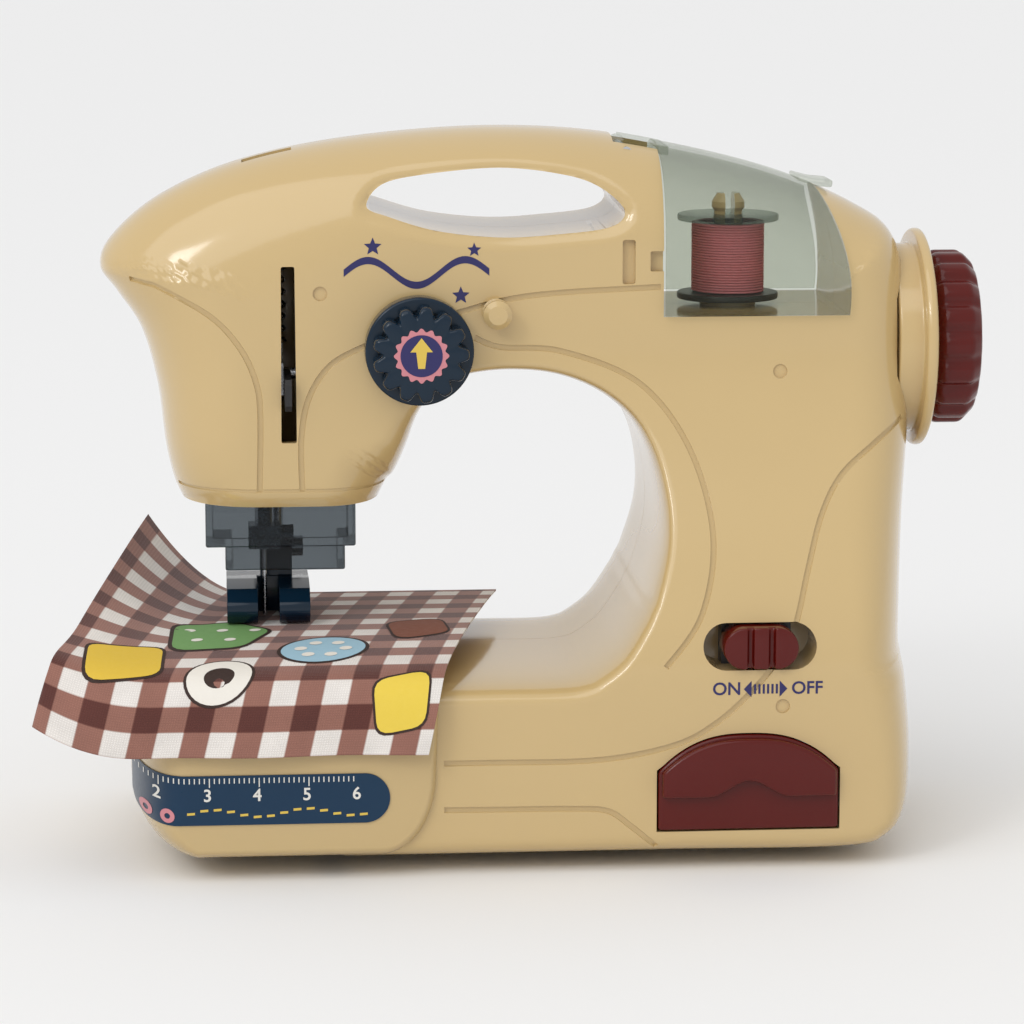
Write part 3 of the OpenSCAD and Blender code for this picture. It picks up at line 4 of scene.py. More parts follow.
import bmesh
import bpy
import numpy as np
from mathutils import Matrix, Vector


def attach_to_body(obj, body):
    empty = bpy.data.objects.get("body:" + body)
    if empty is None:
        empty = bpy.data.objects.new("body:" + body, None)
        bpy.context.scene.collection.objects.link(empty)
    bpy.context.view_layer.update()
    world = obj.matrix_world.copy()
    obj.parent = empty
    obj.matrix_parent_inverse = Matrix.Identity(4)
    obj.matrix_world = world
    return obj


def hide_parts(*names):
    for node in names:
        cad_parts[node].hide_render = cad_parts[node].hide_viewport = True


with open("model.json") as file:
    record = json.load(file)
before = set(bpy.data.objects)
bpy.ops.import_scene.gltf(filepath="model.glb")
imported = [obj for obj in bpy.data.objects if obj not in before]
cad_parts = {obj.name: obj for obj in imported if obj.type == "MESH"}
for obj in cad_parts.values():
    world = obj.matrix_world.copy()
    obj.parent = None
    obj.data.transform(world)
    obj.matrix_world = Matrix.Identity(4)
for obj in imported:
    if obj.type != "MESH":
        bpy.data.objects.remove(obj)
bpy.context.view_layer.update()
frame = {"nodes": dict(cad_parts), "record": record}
mm = 0.001


# Helpers


def linear(code):
    rgb = [int(code[i : i + 2], 16) / 255 for i in (1, 3, 5)]
    return [c / 12.92 if c <= 0.04045 else ((c + 0.055) / 1.055) ** 2.4 for c in rgb] + [1.0]


def addNode(tree, kind, settings=None, **inputs):
    # an input is named by its socket, or by its place as i0, i1 and so on
    node = tree.nodes.new(kind)
    for key, value in (settings or {}).items():
        setattr(node, key, value)
    for key, value in inputs.items():
        byPlace = key[0] == "i" and key[1:].isdigit()
        socket = node.inputs[int(key[1:]) if byPlace else key.replace("_", " ")]
        if isinstance(value, bpy.types.NodeSocket):
            tree.links.new(value, socket)
        else:
            socket.default_value = value
    return node


def newMaterial(name):
    material = bpy.data.materials.new(name)
    material.use_nodes = True
    tree = material.node_tree
    tree.nodes.clear()
    return material, tree


def endMaterial(tree, shader):
    out = tree.nodes.new("ShaderNodeOutputMaterial")
    tree.links.new(shader.outputs[0], out.inputs["Surface"])


def addObject(name, data):
    item = bpy.data.objects.new(name, data)
    bpy.context.collection.objects.link(item)
    return item


def rawMesh(name, points, faces):
    mesh = bpy.data.meshes.new(name)
    spots = [tuple(p) for p in np.asarray(points, float) * mm]
    mesh.from_pydata(spots, [], [tuple(map(int, f)) for f in faces])
    return mesh


def shadeSmooth(mesh, sharp):
    mesh.polygons.foreach_set("use_smooth", np.ones(len(mesh.polygons), bool))
    mesh.set_sharp_from_angle(angle=math.radians(sharp))


def attach(piece, body=None, node=None):
    if body:
        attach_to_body(piece, body)
    if node:
        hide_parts(node)
    return piece


def dress(mesh, name, material, sharp=32, body=None, node=None):
    shadeSmooth(mesh, sharp)
    mesh.materials.clear()
    mesh.materials.append(material)
    return attach(addObject(name, mesh), body, node)


def makePiece(name, points, faces, material, sharp=32, body=None, node=None, uvs=None):
    mesh = rawMesh(name, points, faces)
    mesh.validate()
    if uvs is not None:
        layer = mesh.uv_layers.new(name="flat")
        index = np.empty(len(mesh.loops), int)
        mesh.loops.foreach_get("vertex_index", index)
        layer.data.foreach_set("uv", (np.asarray(uvs, float)[index] * mm).ravel())
    return dress(mesh, name, material, sharp, body, node)


def gridFaces(rows, columns, closeColumns=False):
    faces = []
    for i in range(rows - 1):
        for j in range(columns if closeColumns else columns - 1):
            k = (j + 1) % columns
            faces.append((i * columns + j, i * columns + k, (i + 1) * columns + k, (i + 1) * columns + j))
    return faces


def sheetFaces(rows, columns):
    # two grids of points, one under the other, closed by a wall round their rims
    under, last = rows * columns, columns - 1
    top = gridFaces(rows, columns)
    rim = [i * columns for i in range(rows)]
    rim += [(rows - 1) * columns + j for j in range(1, columns)]
    rim += [i * columns + last for i in range(rows - 2, -1, -1)]
    rim += list(range(last - 1, 0, -1))
    wall = [(a, b, b + under, a + under) for a, b in zip(rim, rim[1:] + rim[:1])]
    return top + [tuple(i + under for i in f[::-1]) for f in top] + wall


def loftFaces(rows, columns):
    caps = [tuple(range(columns - 1, -1, -1)), tuple(range((rows - 1) * columns, rows * columns))]
    return gridFaces(rows, columns, closeColumns=True) + caps


def outward(mesh, weld=0.0):
    work = bmesh.new()
    work.from_mesh(mesh)
    if weld:
        bmesh.ops.remove_doubles(work, verts=work.verts, dist=weld)
    bmesh.ops.recalc_face_normals(work, faces=work.faces)
    work.to_mesh(mesh)
    work.free()


def solid(name, points, faces):
    mesh = rawMesh(name, points, faces)
    outward(mesh)
    return addObject(name, mesh)


def settle(tool):
    graph = bpy.context.evaluated_depsgraph_get()
    mesh = bpy.data.meshes.new_from_object(tool.evaluated_get(graph))
    bpy.data.objects.remove(tool)
    return mesh


def volumeOf(mesh):
    work = bmesh.new()
    work.from_mesh(mesh)
    volume = work.calc_volume()
    work.free()
    return volume


cutting = {"tries": 8, "slack": 1.05, "nudge": (0.011, 0.006, 0.017)}


def combine(base, others, operation="DIFFERENCE"):
    # one tool at a time; a cut that takes more than its tool holds went wrong, so the tool is nudged
    for other in others:
        before, limit = volumeOf(base.data), volumeOf(other.data)
        for _ in range(cutting["tries"]):
            step = base.modifiers.new("cut", "BOOLEAN")
            step.operation, step.solver, step.object = operation, "EXACT", other
            bpy.context.view_layer.update()
            graph = bpy.context.evaluated_depsgraph_get()
            mesh = bpy.data.meshes.new_from_object(base.evaluated_get(graph))
            base.modifiers.clear()
            if abs(volumeOf(mesh) - before) <= limit * cutting["slack"]:
                base.data = mesh
                break
            for v in other.data.vertices:
                v.co += Vector(cutting["nudge"]) * mm
        else:
            print("left uncut:", other.name)
        bpy.data.objects.remove(other)
    return base


def prism(name, outline, low, high, along="y"):
    # a straight bar over an outline of (x, z), or of (y, z) where it runs along x
    n = len(outline)
    points = [(u, w, v) if along == "y" else (w, u, v) for w in (low, high) for u, v in outline]
    faces = [tuple(range(n)), tuple(range(2 * n - 1, n - 1, -1))]
    faces += [(i, i + n, (i + 1) % n + n, (i + 1) % n) for i in range(n)]
    return solid(name, points, faces)


def boxTool(name, low, high):
    (a, b, c), (d, e, f) = low, high
    return prism(name, [(a, c), (d, c), (d, f), (a, f)], b, e)


def rounded(outline, radius, count=5):
    out = []
    n = len(outline)
    for i in range(n):
        p, a, b = (np.array(outline[k % n], float) for k in (i, i - 1, i + 1))
        u, v = (a - p) / np.linalg.norm(a - p), (b - p) / np.linalg.norm(b - p)
        half = math.acos(np.clip(u @ v, -1, 1)) / 2
        reach = min(radius / math.tan(half), 0.45 * np.linalg.norm(a - p), 0.45 * np.linalg.norm(b - p))
        for t in np.linspace(0, 1, count):
            out.append(tuple((1 - t) ** 2 * (p + u * reach) + 2 * t * (1 - t) * p + t**2 * (p + v * reach)))
    return out


def circle(x, z, r, count=48):
    return [(x + r * math.cos(a), z + r * math.sin(a))
            for a in np.linspace(0, 2 * math.pi, count, endpoint=False)]


def stadium(x, z, width, height, count=16):
    r = height / 2
    turn = np.linspace(-math.pi / 2, math.pi / 2, count)
    right = [(x + width / 2 - r + r * math.cos(a), z + r * math.sin(a)) for a in turn]
    return right + [(2 * x - p, 2 * z - q) for p, q in right]


def spline(points, count):
    p = np.asarray(points, float)
    out = []
    for i in range(len(p) - 1):
        a, b, c, d = p[max(i - 1, 0)], p[i], p[i + 1], p[min(i + 2, len(p) - 1)]
        for t in np.arange(count) / count:
            square, cube = 2 * a - 5 * b + 4 * c - d, 3 * b - a - 3 * c + d
            out.append(0.5 * (2 * b + (c - a) * t + square * t**2 + cube * t**3))
    return np.array(out + [p[-1]])


def smooth(u):
    c = np.clip(u, 0, 1)
    return c * c * (3 - 2 * c)


def rolled(d, r, n):
    # share of the full depth at distance d from an edge of rounding r, rounder with smaller n
    return (1 - (1 - np.clip(d / r, 0, 1)) ** n) ** (1 / n)


def turnedPiece(name, profile, axis, centre, material, count, lobes=1, dip=None, body=None, node=None):
    # profile holds (radius, place along the axis); axis is "x", "y" (towards the front) or "z"
    # between lobes the radius falls by up to dip(radius)
    points = []
    for r, h in profile:
        for a in np.linspace(0, 2 * math.pi, count, endpoint=False):
            q = r - dip(r) * (0.5 - 0.5 * math.cos(lobes * a)) ** 2.2 if dip else r
            c, s = centre[0] + q * math.cos(a), centre[1] + q * math.sin(a)
            points.append({"x": (h, c, s), "y": (c, -h, s), "z": (c, s, h)}[axis])
    n, sharp = len(profile), 40
    faces = gridFaces(n, count, closeColumns=True)
    faces += [tuple(range(i * count, (i + 1) * count)) for i in (0, n - 1)]
    piece = makePiece(name, points, faces, material, sharp)
    outward(piece.data, weld=1e-6)
    shadeSmooth(piece.data, sharp)
    return attach(piece, body, node)


def filletedProfile(points, radius, count=5):
    p = [np.array(q, float) for q in points]
    out = [tuple(p[0])]
    for i in range(1, len(p) - 1):
        u, v = p[i - 1] - p[i], p[i + 1] - p[i]
        reach = min(radius, 0.45 * np.linalg.norm(u), 0.45 * np.linalg.norm(v))
        a, b = p[i] + u / np.linalg.norm(u) * reach, p[i] + v / np.linalg.norm(v) * reach
        for t in np.linspace(0, 1, count):
            out.append(tuple((1 - t) ** 2 * a + 2 * t * (1 - t) * p[i] + t**2 * b))
    return out + [tuple(p[-1])]


# Materials


def plastic(name, code, roughness, grain=0.0, coat=0.0, shade=0.06, mirror=0.5):
    # moulded plastic: the colour varies a little with the melt, the gloss where the mould was polished
    material, tree = newMaterial(name)
    place = addNode(tree, "ShaderNodeTexCoord")
    cloud = addNode(tree, "ShaderNodeTexNoise", Vector=place.outputs["Object"], Scale=45.0, Detail=3.0)
    tone = addNode(tree, "ShaderNodeMix", {"data_type": "RGBA"}, i0=cloud.outputs["Fac"])
    base = np.array(linear(code))
    tone.inputs[6].default_value = tuple(np.append(base[:3] * (1 - shade), 1))
    tone.inputs[7].default_value = tuple(np.append(np.clip(base[:3] * (1 + shade), 0, 1), 1))
    fine = addNode(tree, "ShaderNodeTexNoise", Vector=place.outputs["Object"], Scale=900.0, Detail=2.0)
    gloss = addNode(tree, "ShaderNodeMapRange", i0=fine.outputs["Fac"], i3=roughness * 0.85,
                    i4=roughness * 1.2)
    shader = addNode(tree, "ShaderNodeBsdfPrincipled", Base_Color=tone.outputs[2], Roughness=gloss.outputs[0],
                     Coat_Weight=coat, Coat_Roughness=0.08, Specular_IOR_Level=mirror)
    if grain:
        bump = addNode(tree, "ShaderNodeBump", Height=fine.outputs["Fac"], Strength=grain, Distance=0.0002)
        tree.links.new(bump.outputs[0], shader.inputs["Normal"])
    endMaterial(tree, shader)
    return material


def metal(name, code, roughness):
    # turned and drawn metal: fine lines run along the stock
    material, tree = newMaterial(name)
    place = addNode(tree, "ShaderNodeTexCoord")
    lines = addNode(tree, "ShaderNodeTexNoise", Vector=place.outputs["Object"], Scale=1500.0, Detail=2.0)
    gloss = addNode(tree, "ShaderNodeMapRange", i0=lines.outputs["Fac"], i3=roughness * 0.7,
                    i4=roughness * 1.4)
    shader = addNode(tree, "ShaderNodeBsdfPrincipled", Base_Color=linear(code), Roughness=gloss.outputs[0],
                     Metallic=1.0)
    endMaterial(tree, shader)
    return material


def clearPlastic(name, tint, body, least, most):
    # clear polystyrene: see-through with a tint, and more mirror-like towards grazing sight
    material, tree = newMaterial(name)
    edge = addNode(tree, "ShaderNodeLayerWeight", Blend=0.35)
    share = addNode(tree, "ShaderNodeMapRange", i0=edge.outputs["Facing"], i3=least, i4=most)
    through = addNode(tree, "ShaderNodeBsdfTransparent", Color=linear(tint))
    face = addNode(tree, "ShaderNodeBsdfPrincipled", Base_Color=linear(body), Roughness=0.05,
                   Specular_IOR_Level=0.7)
    mix = addNode(tree, "ShaderNodeMixShader", i0=share.outputs[0], i1=through.outputs[0], i2=face.outputs[0])
    endMaterial(tree, mix)
    return material


beigeAbs = plastic("beige ABS, glossy injection moulding", "#c7ac79", 0.14, coat=0.45, shade=0.02)
coverAbs = plastic("beige ABS, bed cover moulding", "#c2a877", 0.18, coat=0.3, shade=0.02)
redAbs = plastic("dark red ABS, glossy injection moulding", "#560f09", 0.16, coat=0.05, shade=0.05,
                 mirror=0.3)
navyAbs = plastic("navy ABS, glossy injection moulding", "#0c2233", 0.16, coat=0.05, shade=0.06, mirror=0.3)
darkAbs = plastic("black ABS, satin moulding", "#1b1a1b", 0.35)
greyAbs = plastic("grey ABS, satin moulding", "#5b5b50", 0.4)
acetal = plastic("natural acetal, cut gear", "#e4dfd0", 0.4)
rubber = plastic("black rubber, moulded", "#202022", 0.7, grain=0.3)
steel = metal("bright steel, drawn and turned", "#c4c6ca", 0.25)
brass = metal("brass, turned", "#c9a24a", 0.3)
cellCan = plastic("green sleeve of a dry cell", "#3f6f5a", 0.35)
smoky = clearPlastic("smoky polystyrene, clear moulding", "#eff1ec", "#7c827c", 0.04, 0.34)
guardClear = clearPlastic("clear polystyrene, needle guard", "#aeb4b8", "#262b30", 0.22, 0.85)
bobbinClear = clearPlastic("clear polystyrene, bobbin", "#dde2df", "#59605e", 0.1, 0.55)
navyInk = plastic("navy ink, pad printed", "#23205a", 0.35)
print("materials done")


# Outline of the housing: each station is (x, z, rounding, squareness) outside, then the same inside
housing = {
    "outside": [
        (-70.4, 73.2, 18, 2.3), (-72, 77, 18, 2.3), (-73.6, 84.2, 18, 2.3), (-75.2, 97.2, 19, 2.3),
        (-78.4, 108.8, 20, 2.3), (-83.4, 116.6, 24, 2.3), (-86.8, 121.8, 27, 2.3),
        (-84.4, 127.8, 30, 2.3), (-74.8, 136, 30, 2.3), (-59, 143.1, 28, 2.3), (-37.6, 147.8, 24, 2.3),
        (-10, 150.3, 22, 2.3), (14, 149.6, 22, 2.3), (36, 145.9, 22, 2.3), (56, 140.7, 22, 2.3),
        (72, 134, 20, 2.3), (80.5, 127.3, 17, 2.4), (83.8, 113.3, 16, 2.4), (84.3, 92.8, 16, 2.4),
        (82.2, 68, 16, 2.4), (80.9, 47, 15, 2.5), (81.1, 42, 14.4, 2.6), (81.8, 36.5, 13.5, 2.8),
        (82.4, 24, 12, 3), (81, 11, 10, 3.4), (76, 4.4, 8, 3.8), (66, 2, 7, 4), (30.3, 2, 7, 4),
        (-4, 2, 7, 4), (-38, 2, 7, 4),
    ],
    "inside": [
        (-28.6, 73.2, 14, 2.4), (-27, 76.4, 14, 2.4), (-25.6, 78, 12, 2.5), (-24, 81.5, 10, 2.7),
        (-22.6, 85.5, 8, 3), (-21.5, 89, 7, 3.2), (-20.3, 92, 6, 3.4), (-18.4, 95, 5, 3.6),
        (-15.8, 97.4, 4.5, 3.8), (-12.5, 99.2, 4, 4), (-8, 100.4, 3, 4), (-2, 100.8, 3, 4),
        (5, 100.3, 3, 4), (11.5, 98.6, 3, 4), (17.5, 95.6, 3, 4), (22.3, 91.5, 3, 4), (25.3, 86.8, 3, 4),
        (27.4, 80.8, 3, 4), (28.5, 73, 3, 4), (28, 65.5, 3, 4), (25.6, 57, 3, 4), (24.3, 54.2, 3.2, 4),
        (22.7, 51.3, 3.5, 4), (18.5, 45.2, 4, 4), (14, 41.7, 4.5, 4), (11, 40.5, 5, 4), (6, 40, 5, 4),
        (-6, 40, 5, 4), (-20, 40, 5, 4), (-38, 40, 5, 4),
    ],
    "wall": 2.2, "upperHalf": 23, "front": 46, "back": 32, "flareTop": 106.8, "bed": 40,
    "sections": 14, "across": 96, "seam": 0.07, "ribEdge": 3.0,
    "flareX": (-24, 16), "flareZ": (56, 8), "lipTop": 77.2, "lipHigh": 4, "lipShare": 0.07,
}
outerLine = spline(housing["outside"], housing["sections"])
innerLine = spline(housing["inside"], housing["sections"])

handle = {
    "left": -31.6, "right": 21.7, "low": 129, "high": 143,
    "shape": [(0, 0.46), (0.057, 0.76), (0.208, 0.9), (0.518, 1), (0.78, 0.885), (0.916, 0.69), (1, 0.37),
              (0.944, 0.14), (0.743, 0.04), (0.518, 0), (0.274, 0.1), (0.085, 0.31)],
}


def closedSpline(points, count):
    p = np.asarray(points, float)
    n = len(p)
    ring = spline(np.vstack([p[-2:], p, p[:3]]), count)
    return ring[2 * count : (2 + n) * count]


wide, tall = handle["right"] - handle["left"], handle["high"] - handle["low"]
holeSpots = [(handle["left"] + wide * u, handle["low"] + tall * v) for u, v in handle["shape"]]
holeLine = closedSpline(holeSpots, 8)


def nearest(p, line):
    # distance from each point to the line, and the line's further columns at the nearest place
    a, v = line[:-1, :2], np.diff(line[:, :2], axis=0)
    best = np.full(len(p), 1e9)
    extra = np.zeros((len(p), line.shape[1] - 2))
    for i in range(len(a)):
        w = p - a[i]
        t = np.clip(w @ v[i] / (v[i] @ v[i] + 1e-12), 0, 1)
        q = w - t[:, None] * v[i]
        d = np.hypot(q[:, 0], q[:, 1])
        closer = d < best
        best[closer] = d[closer]
        extra[closer] = line[i, 2:] + t[closer, None] * (line[i + 1, 2:] - line[i, 2:])
    return best, extra


def rawDepth(p, side):
    # half depth at points (x, z), rolled off towards both outlines, the hand hole and the head's lip
    do, eo = nearest(p, outerLine)
    di, ei = nearest(p, innerLine)
    (fromX, overX), (fromZ, overZ) = housing["flareX"], housing["flareZ"]
    reach = np.maximum(smooth((p[:, 0] - fromX) / overX), smooth((fromZ - p[:, 1]) / overZ))
    flare = smooth((housing["flareTop"] - p[:, 1]) / (housing["flareTop"] - housing["bed"])) * reach
    half = housing["front"] if side < 0 else housing["back"]
    full = housing["upperHalf"] + flare * (half - housing["upperHalf"])
    depth = full * rolled(do, eo[:, 0], eo[:, 1]) * rolled(di, ei[:, 0], ei[:, 1])
    toHole = nearest(p, np.vstack([holeLine, holeLine[:1]]))[0]
    f = housing["ribEdge"]
    depth = depth - 0.45 * f * np.clip(1 - toHole / f, 0, 1) ** 2
    onHead = (p[:, 0] < 0) & (p[:, 1] > 60)
    lip = np.clip((housing["lipTop"] - p[:, 1]) / housing["lipHigh"], 0, 1) * onHead
    return np.maximum(depth * (1 - housing["lipShare"] * lip**2), 0)


# Where edges of different rounding meet, each spot as (x, z, reach), the depth is averaged over a small disc
softening = {"spots": [(-70, 119.5, 24), (-31.5, 81, 7)], "disc": 4, "points": 8, "core": 0.6}


def halfDepth(p, side):
    p = np.asarray(p, float)
    depth = rawDepth(p, side)
    angles = np.linspace(0, 2 * math.pi, softening["points"], endpoint=False)
    for x, z, reach in softening["spots"]:
        away = np.hypot(p[:, 0] - x, p[:, 1] - z) / reach
        near = away < 1
        if not near.any():
            continue
        q = p[near]
        rim = np.minimum(nearest(q, outerLine)[0], nearest(q, innerLine)[0])
        room = 0.5 * np.minimum(rim, softening["disc"])
        around = [rawDepth(q + room[:, None] * (math.cos(a), math.sin(a)), side) for a in angles]
        mean = (depth[near] + np.sum(around, axis=0)) / (softening["points"] + 1)
        fade = 1 - smooth((away[near] - softening["core"]) / (1 - softening["core"]))
        depth[near] += fade * (mean - depth[near])
    return depth


def depthAt(x, z, side=-1):
    return float(halfDepth([(x, z)], side)[0])


def edgeDense(count):
    u = np.linspace(0, 1, count)
    return 0.5 - 0.5 * np.cos(np.pi * u) * (0.35 + 0.65 * np.abs(np.cos(np.pi * u)))


acrossSteps = edgeDense(housing["across"])


def skin(side):
    n, m = len(outerLine), len(acrossSteps)
    inner, outer = innerLine[:, None, :2], outerLine[:, None, :2]
    flat = inner + acrossSteps[None, :, None] * (outer - inner)
    depth = halfDepth(flat.reshape(-1, 2), side).reshape(n, m)
    rings = np.zeros((n, m, 3))
    rings[:, :, 0], rings[:, :, 2] = flat[:, :, 0], flat[:, :, 1]
    rings[:, :, 1] = side * (housing["seam"] + depth)
    return rings


def tubeTool(name, points, radius, sides=10):
    p = np.asarray(points, float)
    d = np.gradient(p, axis=0)
    d /= np.linalg.norm(d, axis=1)[:, None]
    rings = []
    for q, t in zip(p, d):
        a = np.cross(t, (0, 1, 0))
        a /= np.linalg.norm(a)
        b = np.cross(t, a)
        turn = np.linspace(0, 2 * math.pi, sides, endpoint=False)
        rings += [q + radius * (math.cos(k) * a + math.sin(k) * b) for k in turn]
    return solid(name, rings, loftFaces(len(p), sides))


lid = {"left": 30, "right": 68.4, "low": 112.6, "lean": 5.2, "bulge": 2, "gap": 0.3, "wall": 1.2,
       "proud": 1.8}


def topAt(x):
    line = outerLine[outerLine[:, 1] > 121.9]
    order = np.argsort(line[:, 0])
    return float(np.interp(x, line[order, 0], line[order, 1]))


def lidX(u, t):
    right = lid["right"] - lid["lean"] * t
    return lid["left"] + (right - lid["left"] + lid["bulge"] * 4 * t * (1 - t)) * u


def lidOutline(gap):
    shoulder = lid["right"] - lid["lean"]
    rise = topAt(shoulder) - lid["low"]
    edge = [(lidX(1, t) + gap, lid["low"] - gap * (1 - t) + rise * t) for t in np.linspace(0, 1, 13)]
    start, roof = lid["left"] - gap, 162
    return [(start, lid["low"] - gap)] + edge + [(shoulder - 2 + gap, roof), (start, roof)]


drawerCut = {"x": 45.2, "half": 18.7, "low": 8.8, "high": 28.8, "drop": 7.6}


def drawerTop(x):
    return drawerCut["high"] - drawerCut["drop"] * (abs(x - drawerCut["x"]) / drawerCut["half"]) ** 2.6


def drawerOutline(gap):
    left, right = drawerCut["x"] - drawerCut["half"], drawerCut["x"] + drawerCut["half"]
    xs = np.linspace(right + gap, left - gap, 33)
    floor = [(x, drawerCut["low"] - gap) for x in (xs[-1], xs[0])]
    return floor + [(x, drawerTop(i) + gap) for x, i in zip(xs, np.clip(xs, left, right))]


grooves = {
    "radius": 0.62, "lipZ": 76.8, "lipX": (-71, -27.8), "lipRadius": 0.4,
    "lines": [
        [(-80.5, 120.4), (-77.5, 119.8), (-74, 118.8), (-64, 113.3), (-58, 106.8), (-54.8, 99.8),
         (-53.9, 92.8), (-54.2, 76.6)],
        [(-31.5, 107.2), (-39.2, 103.1), (-43.8, 96.3), (-45.5, 87.8), (-45.4, 76.6)],
        [(80.5, 90.4), (74, 86.4), (66.3, 80.4), (61.4, 72.5), (57.9, 62), (54.4, 50), (50.4, 43.5),
         (46.4, 38.6), (39.4, 32), (30.5, 27), (14.5, 24), (-8, 23.8), (-17.5, 23.8)],
        [(-9.5, 108.4), (-4.1, 106.4), (8.5, 105.4), (24.5, 98.8), (34.5, 85.8), (38.6, 69), (35.6, 53.5),
         (28, 43)],
        [(-14.5, 113.2), (-3.1, 116.2), (8.5, 117.6), (29, 118.6)],
        [(-17.5, 14), (-4, 13.9), (8, 13.8), (16, 13.2), (21, 9.8), (26.2, 5.4)],
    ],
}
screwSpots = [(-64.8, 127.8), (-66, 92.2), (-37.6, 121), (13.7, 119), (72.3, 62), (50.4, 66), (72.3, 20),
              (10.5, 33), (-28, 33)]
dimples = [(-41.4, 117.8), (54.1, 100.8), (52.1, 34.6)]


# Cuts in the front shell: the outline, and how far from the middle the cut ends
frontCuts = {
    "takeUpSlot": (rounded([(-49.6, 86.8), (-46.4, 86.8), (-46.6, 123.4), (-49.4, 123.4)], 0.5), 9),
    "studSeat": (circle(-21.2, 106.3, 3.1), 15),
    "postSeat": (circle(-5.1, 113.6, 1.7), 15),
    "threadRecess": (rounded([(21.1, 119.2), (23.8, 119.2), (23.8, 128.4), (21.1, 128.4)], 0.6), 21.6),
    "notch": (rounded([(26.9, 121.8), (31, 121.8), (31, 126), (26.9, 126)], 0.4), 21.2),
}


def onSkin(c, lift=0.0):
    return np.column_stack([c[:, 0], -(halfDepth(c, -1) + housing["seam"]) - lift, c[:, 1]])


def frontTools():
    tools = [tubeTool("groove", onSkin(spline(line, 10)), grooves["radius"], 10) for line in grooves["lines"]]
    lipLine = np.array([(x, grooves["lipZ"]) for x in np.linspace(*grooves["lipX"], 60)])
    tools.append(tubeTool("groove", onSkin(lipLine, 0.1), grooves["lipRadius"], 8))
    tools += [prism(name, outline, -50, -end) for name, (outline, end) in frontCuts.items()]
    tools += [prism("dimple", circle(x, z, 1.5, 24), -80, -depthAt(x, z) + 0.5) for x, z in dimples]
    tools.append(prism("switchSlot", stadium(47.4, 47, 23.4, 9.6), -90, -34))
    tools.append(prism("drawerMouth", drawerOutline(0.3), -90, -12.5))
    return tools


def rearTools():
    tools = [prism("counterbore", circle(x, z, 3, 32), 6, 90) for x, z in screwSpots]
    return tools + [prism("lifterBearing", circle(-59.4, 97.2, 3.1), 8, 60)]


def bothTools(side):
    reach = 90 * side
    low, high = min(-5 * side, reach), max(-5 * side, reach)
    tools = [
        prism("handHole", list(holeLine), low, high),
        prism("lidOpening", lidOutline(lid["gap"]), low, high),
        boxTool("hingePocket", (20.4, -9.3, 143.1), (31, 9.3, 160)),
        boxTool("topSlot", (-57, -4.8, 130), (-46.6, -1.6, 165)),
        boxTool("underside", (-200, -100, -10), (200, 100, 2.3)),
        boxTool("cellBay", (-33.6, -35.4, -10), (25.8, 19.9, 11.6)),
    ]
    x = np.array([79.5, 95.0])
    tools.append(tubeTool("collarNeck", np.column_stack([x, 0 * x, 0 * x + 104.8]), 20.1, 72))
    return tools


def coreTool(side):
    w = housing["wall"]
    step = 8
    ks = sorted(set(list(range(0, len(outerLine), step)) + [len(outerLine) - 1]))
    du, dv = np.gradient(innerLine[:, :2], axis=0), np.gradient(outerLine[:, :2], axis=0)
    du /= np.linalg.norm(du, axis=1)[:, None]
    dv /= np.linalg.norm(dv, axis=1)[:, None]
    rings = []
    for k in ks:
        a = innerLine[k, :2] + w * np.array([-du[k, 1], du[k, 0]])
        b = outerLine[k, :2] + (w + 1) * np.array([dv[k, 1], -dv[k, 0]])
        p = a + np.array([0, 0.06, 0.2, 0.45, 0.72, 0.9, 1])[:, None] * (b - a)
        y = np.maximum(halfDepth(p, side) - w, 1) * side
        ends = [[x, -3 * side, z] for x, z in p[[0, -1]]]
        rings.append(np.vstack([ends[0], np.column_stack([p[:, 0], y, p[:, 1]]), ends[1]]))
    rings.insert(0, rings[0] - (0, 0, 2))
    rings.append(rings[-1] - (2, 0, 0))
    core = solid("core", np.vstack(rings), loftFaces(len(rings), len(rings[0])))
    away = holeLine - holeLine.mean(axis=0)
    wider = holeLine + away / np.linalg.norm(away, axis=1)[:, None] * w
    keep = [
        prism("handWall", list(wider), -100, 100),
        prism("lidWall", lidOutline(w + lid["gap"]), -100, 100),
        boxTool("hingeWall", (18.5, -13, 140), (30, 13, 160)),
    ]
    return combine(core, keep)


def fieldNormals(mesh, side):
    # the cut skin takes its normals from the smooth outline, not from the cut's own triangles
    corners = np.empty(len(mesh.loops) * 3, np.float32)
    mesh.corner_normals.foreach_get("vector", corners)
    normals = corners.reshape(-1, 3).copy()
    index = np.empty(len(mesh.loops), int)
    mesh.loops.foreach_get("vertex_index", index)
    points = np.empty(len(mesh.vertices) * 3, np.float32)
    mesh.vertices.foreach_get("co", points)
    flat = points.reshape(-1, 3)[:, [0, 2]].astype(float) / mm
    skinFace = np.zeros(len(mesh.loops), bool)
    for poly in mesh.polygons:
        if poly.material_index == 0:
            skinFace[poly.loop_start : poly.loop_start + poly.loop_total] = True
    e = 0.15
    gx = (halfDepth(flat + (e, 0), side) - halfDepth(flat - (e, 0), side)) / (2 * e)
    gz = (halfDepth(flat + (0, e), side) - halfDepth(flat - (0, e), side)) / (2 * e)
    exact = np.column_stack([-gx, np.full(len(flat), float(side)), -gz])
    exact /= np.linalg.norm(exact, axis=1)[:, None]
    rim = np.minimum(nearest(flat, outerLine)[0], nearest(flat, innerLine)[0])
    use = skinFace & (rim[index] > 0.6)
    use &= np.einsum("ij,ij->i", exact[index], normals) > 0.55
    normals[use] = exact[index][use]
    mesh.normals_split_custom_set([tuple(n) for n in normals])


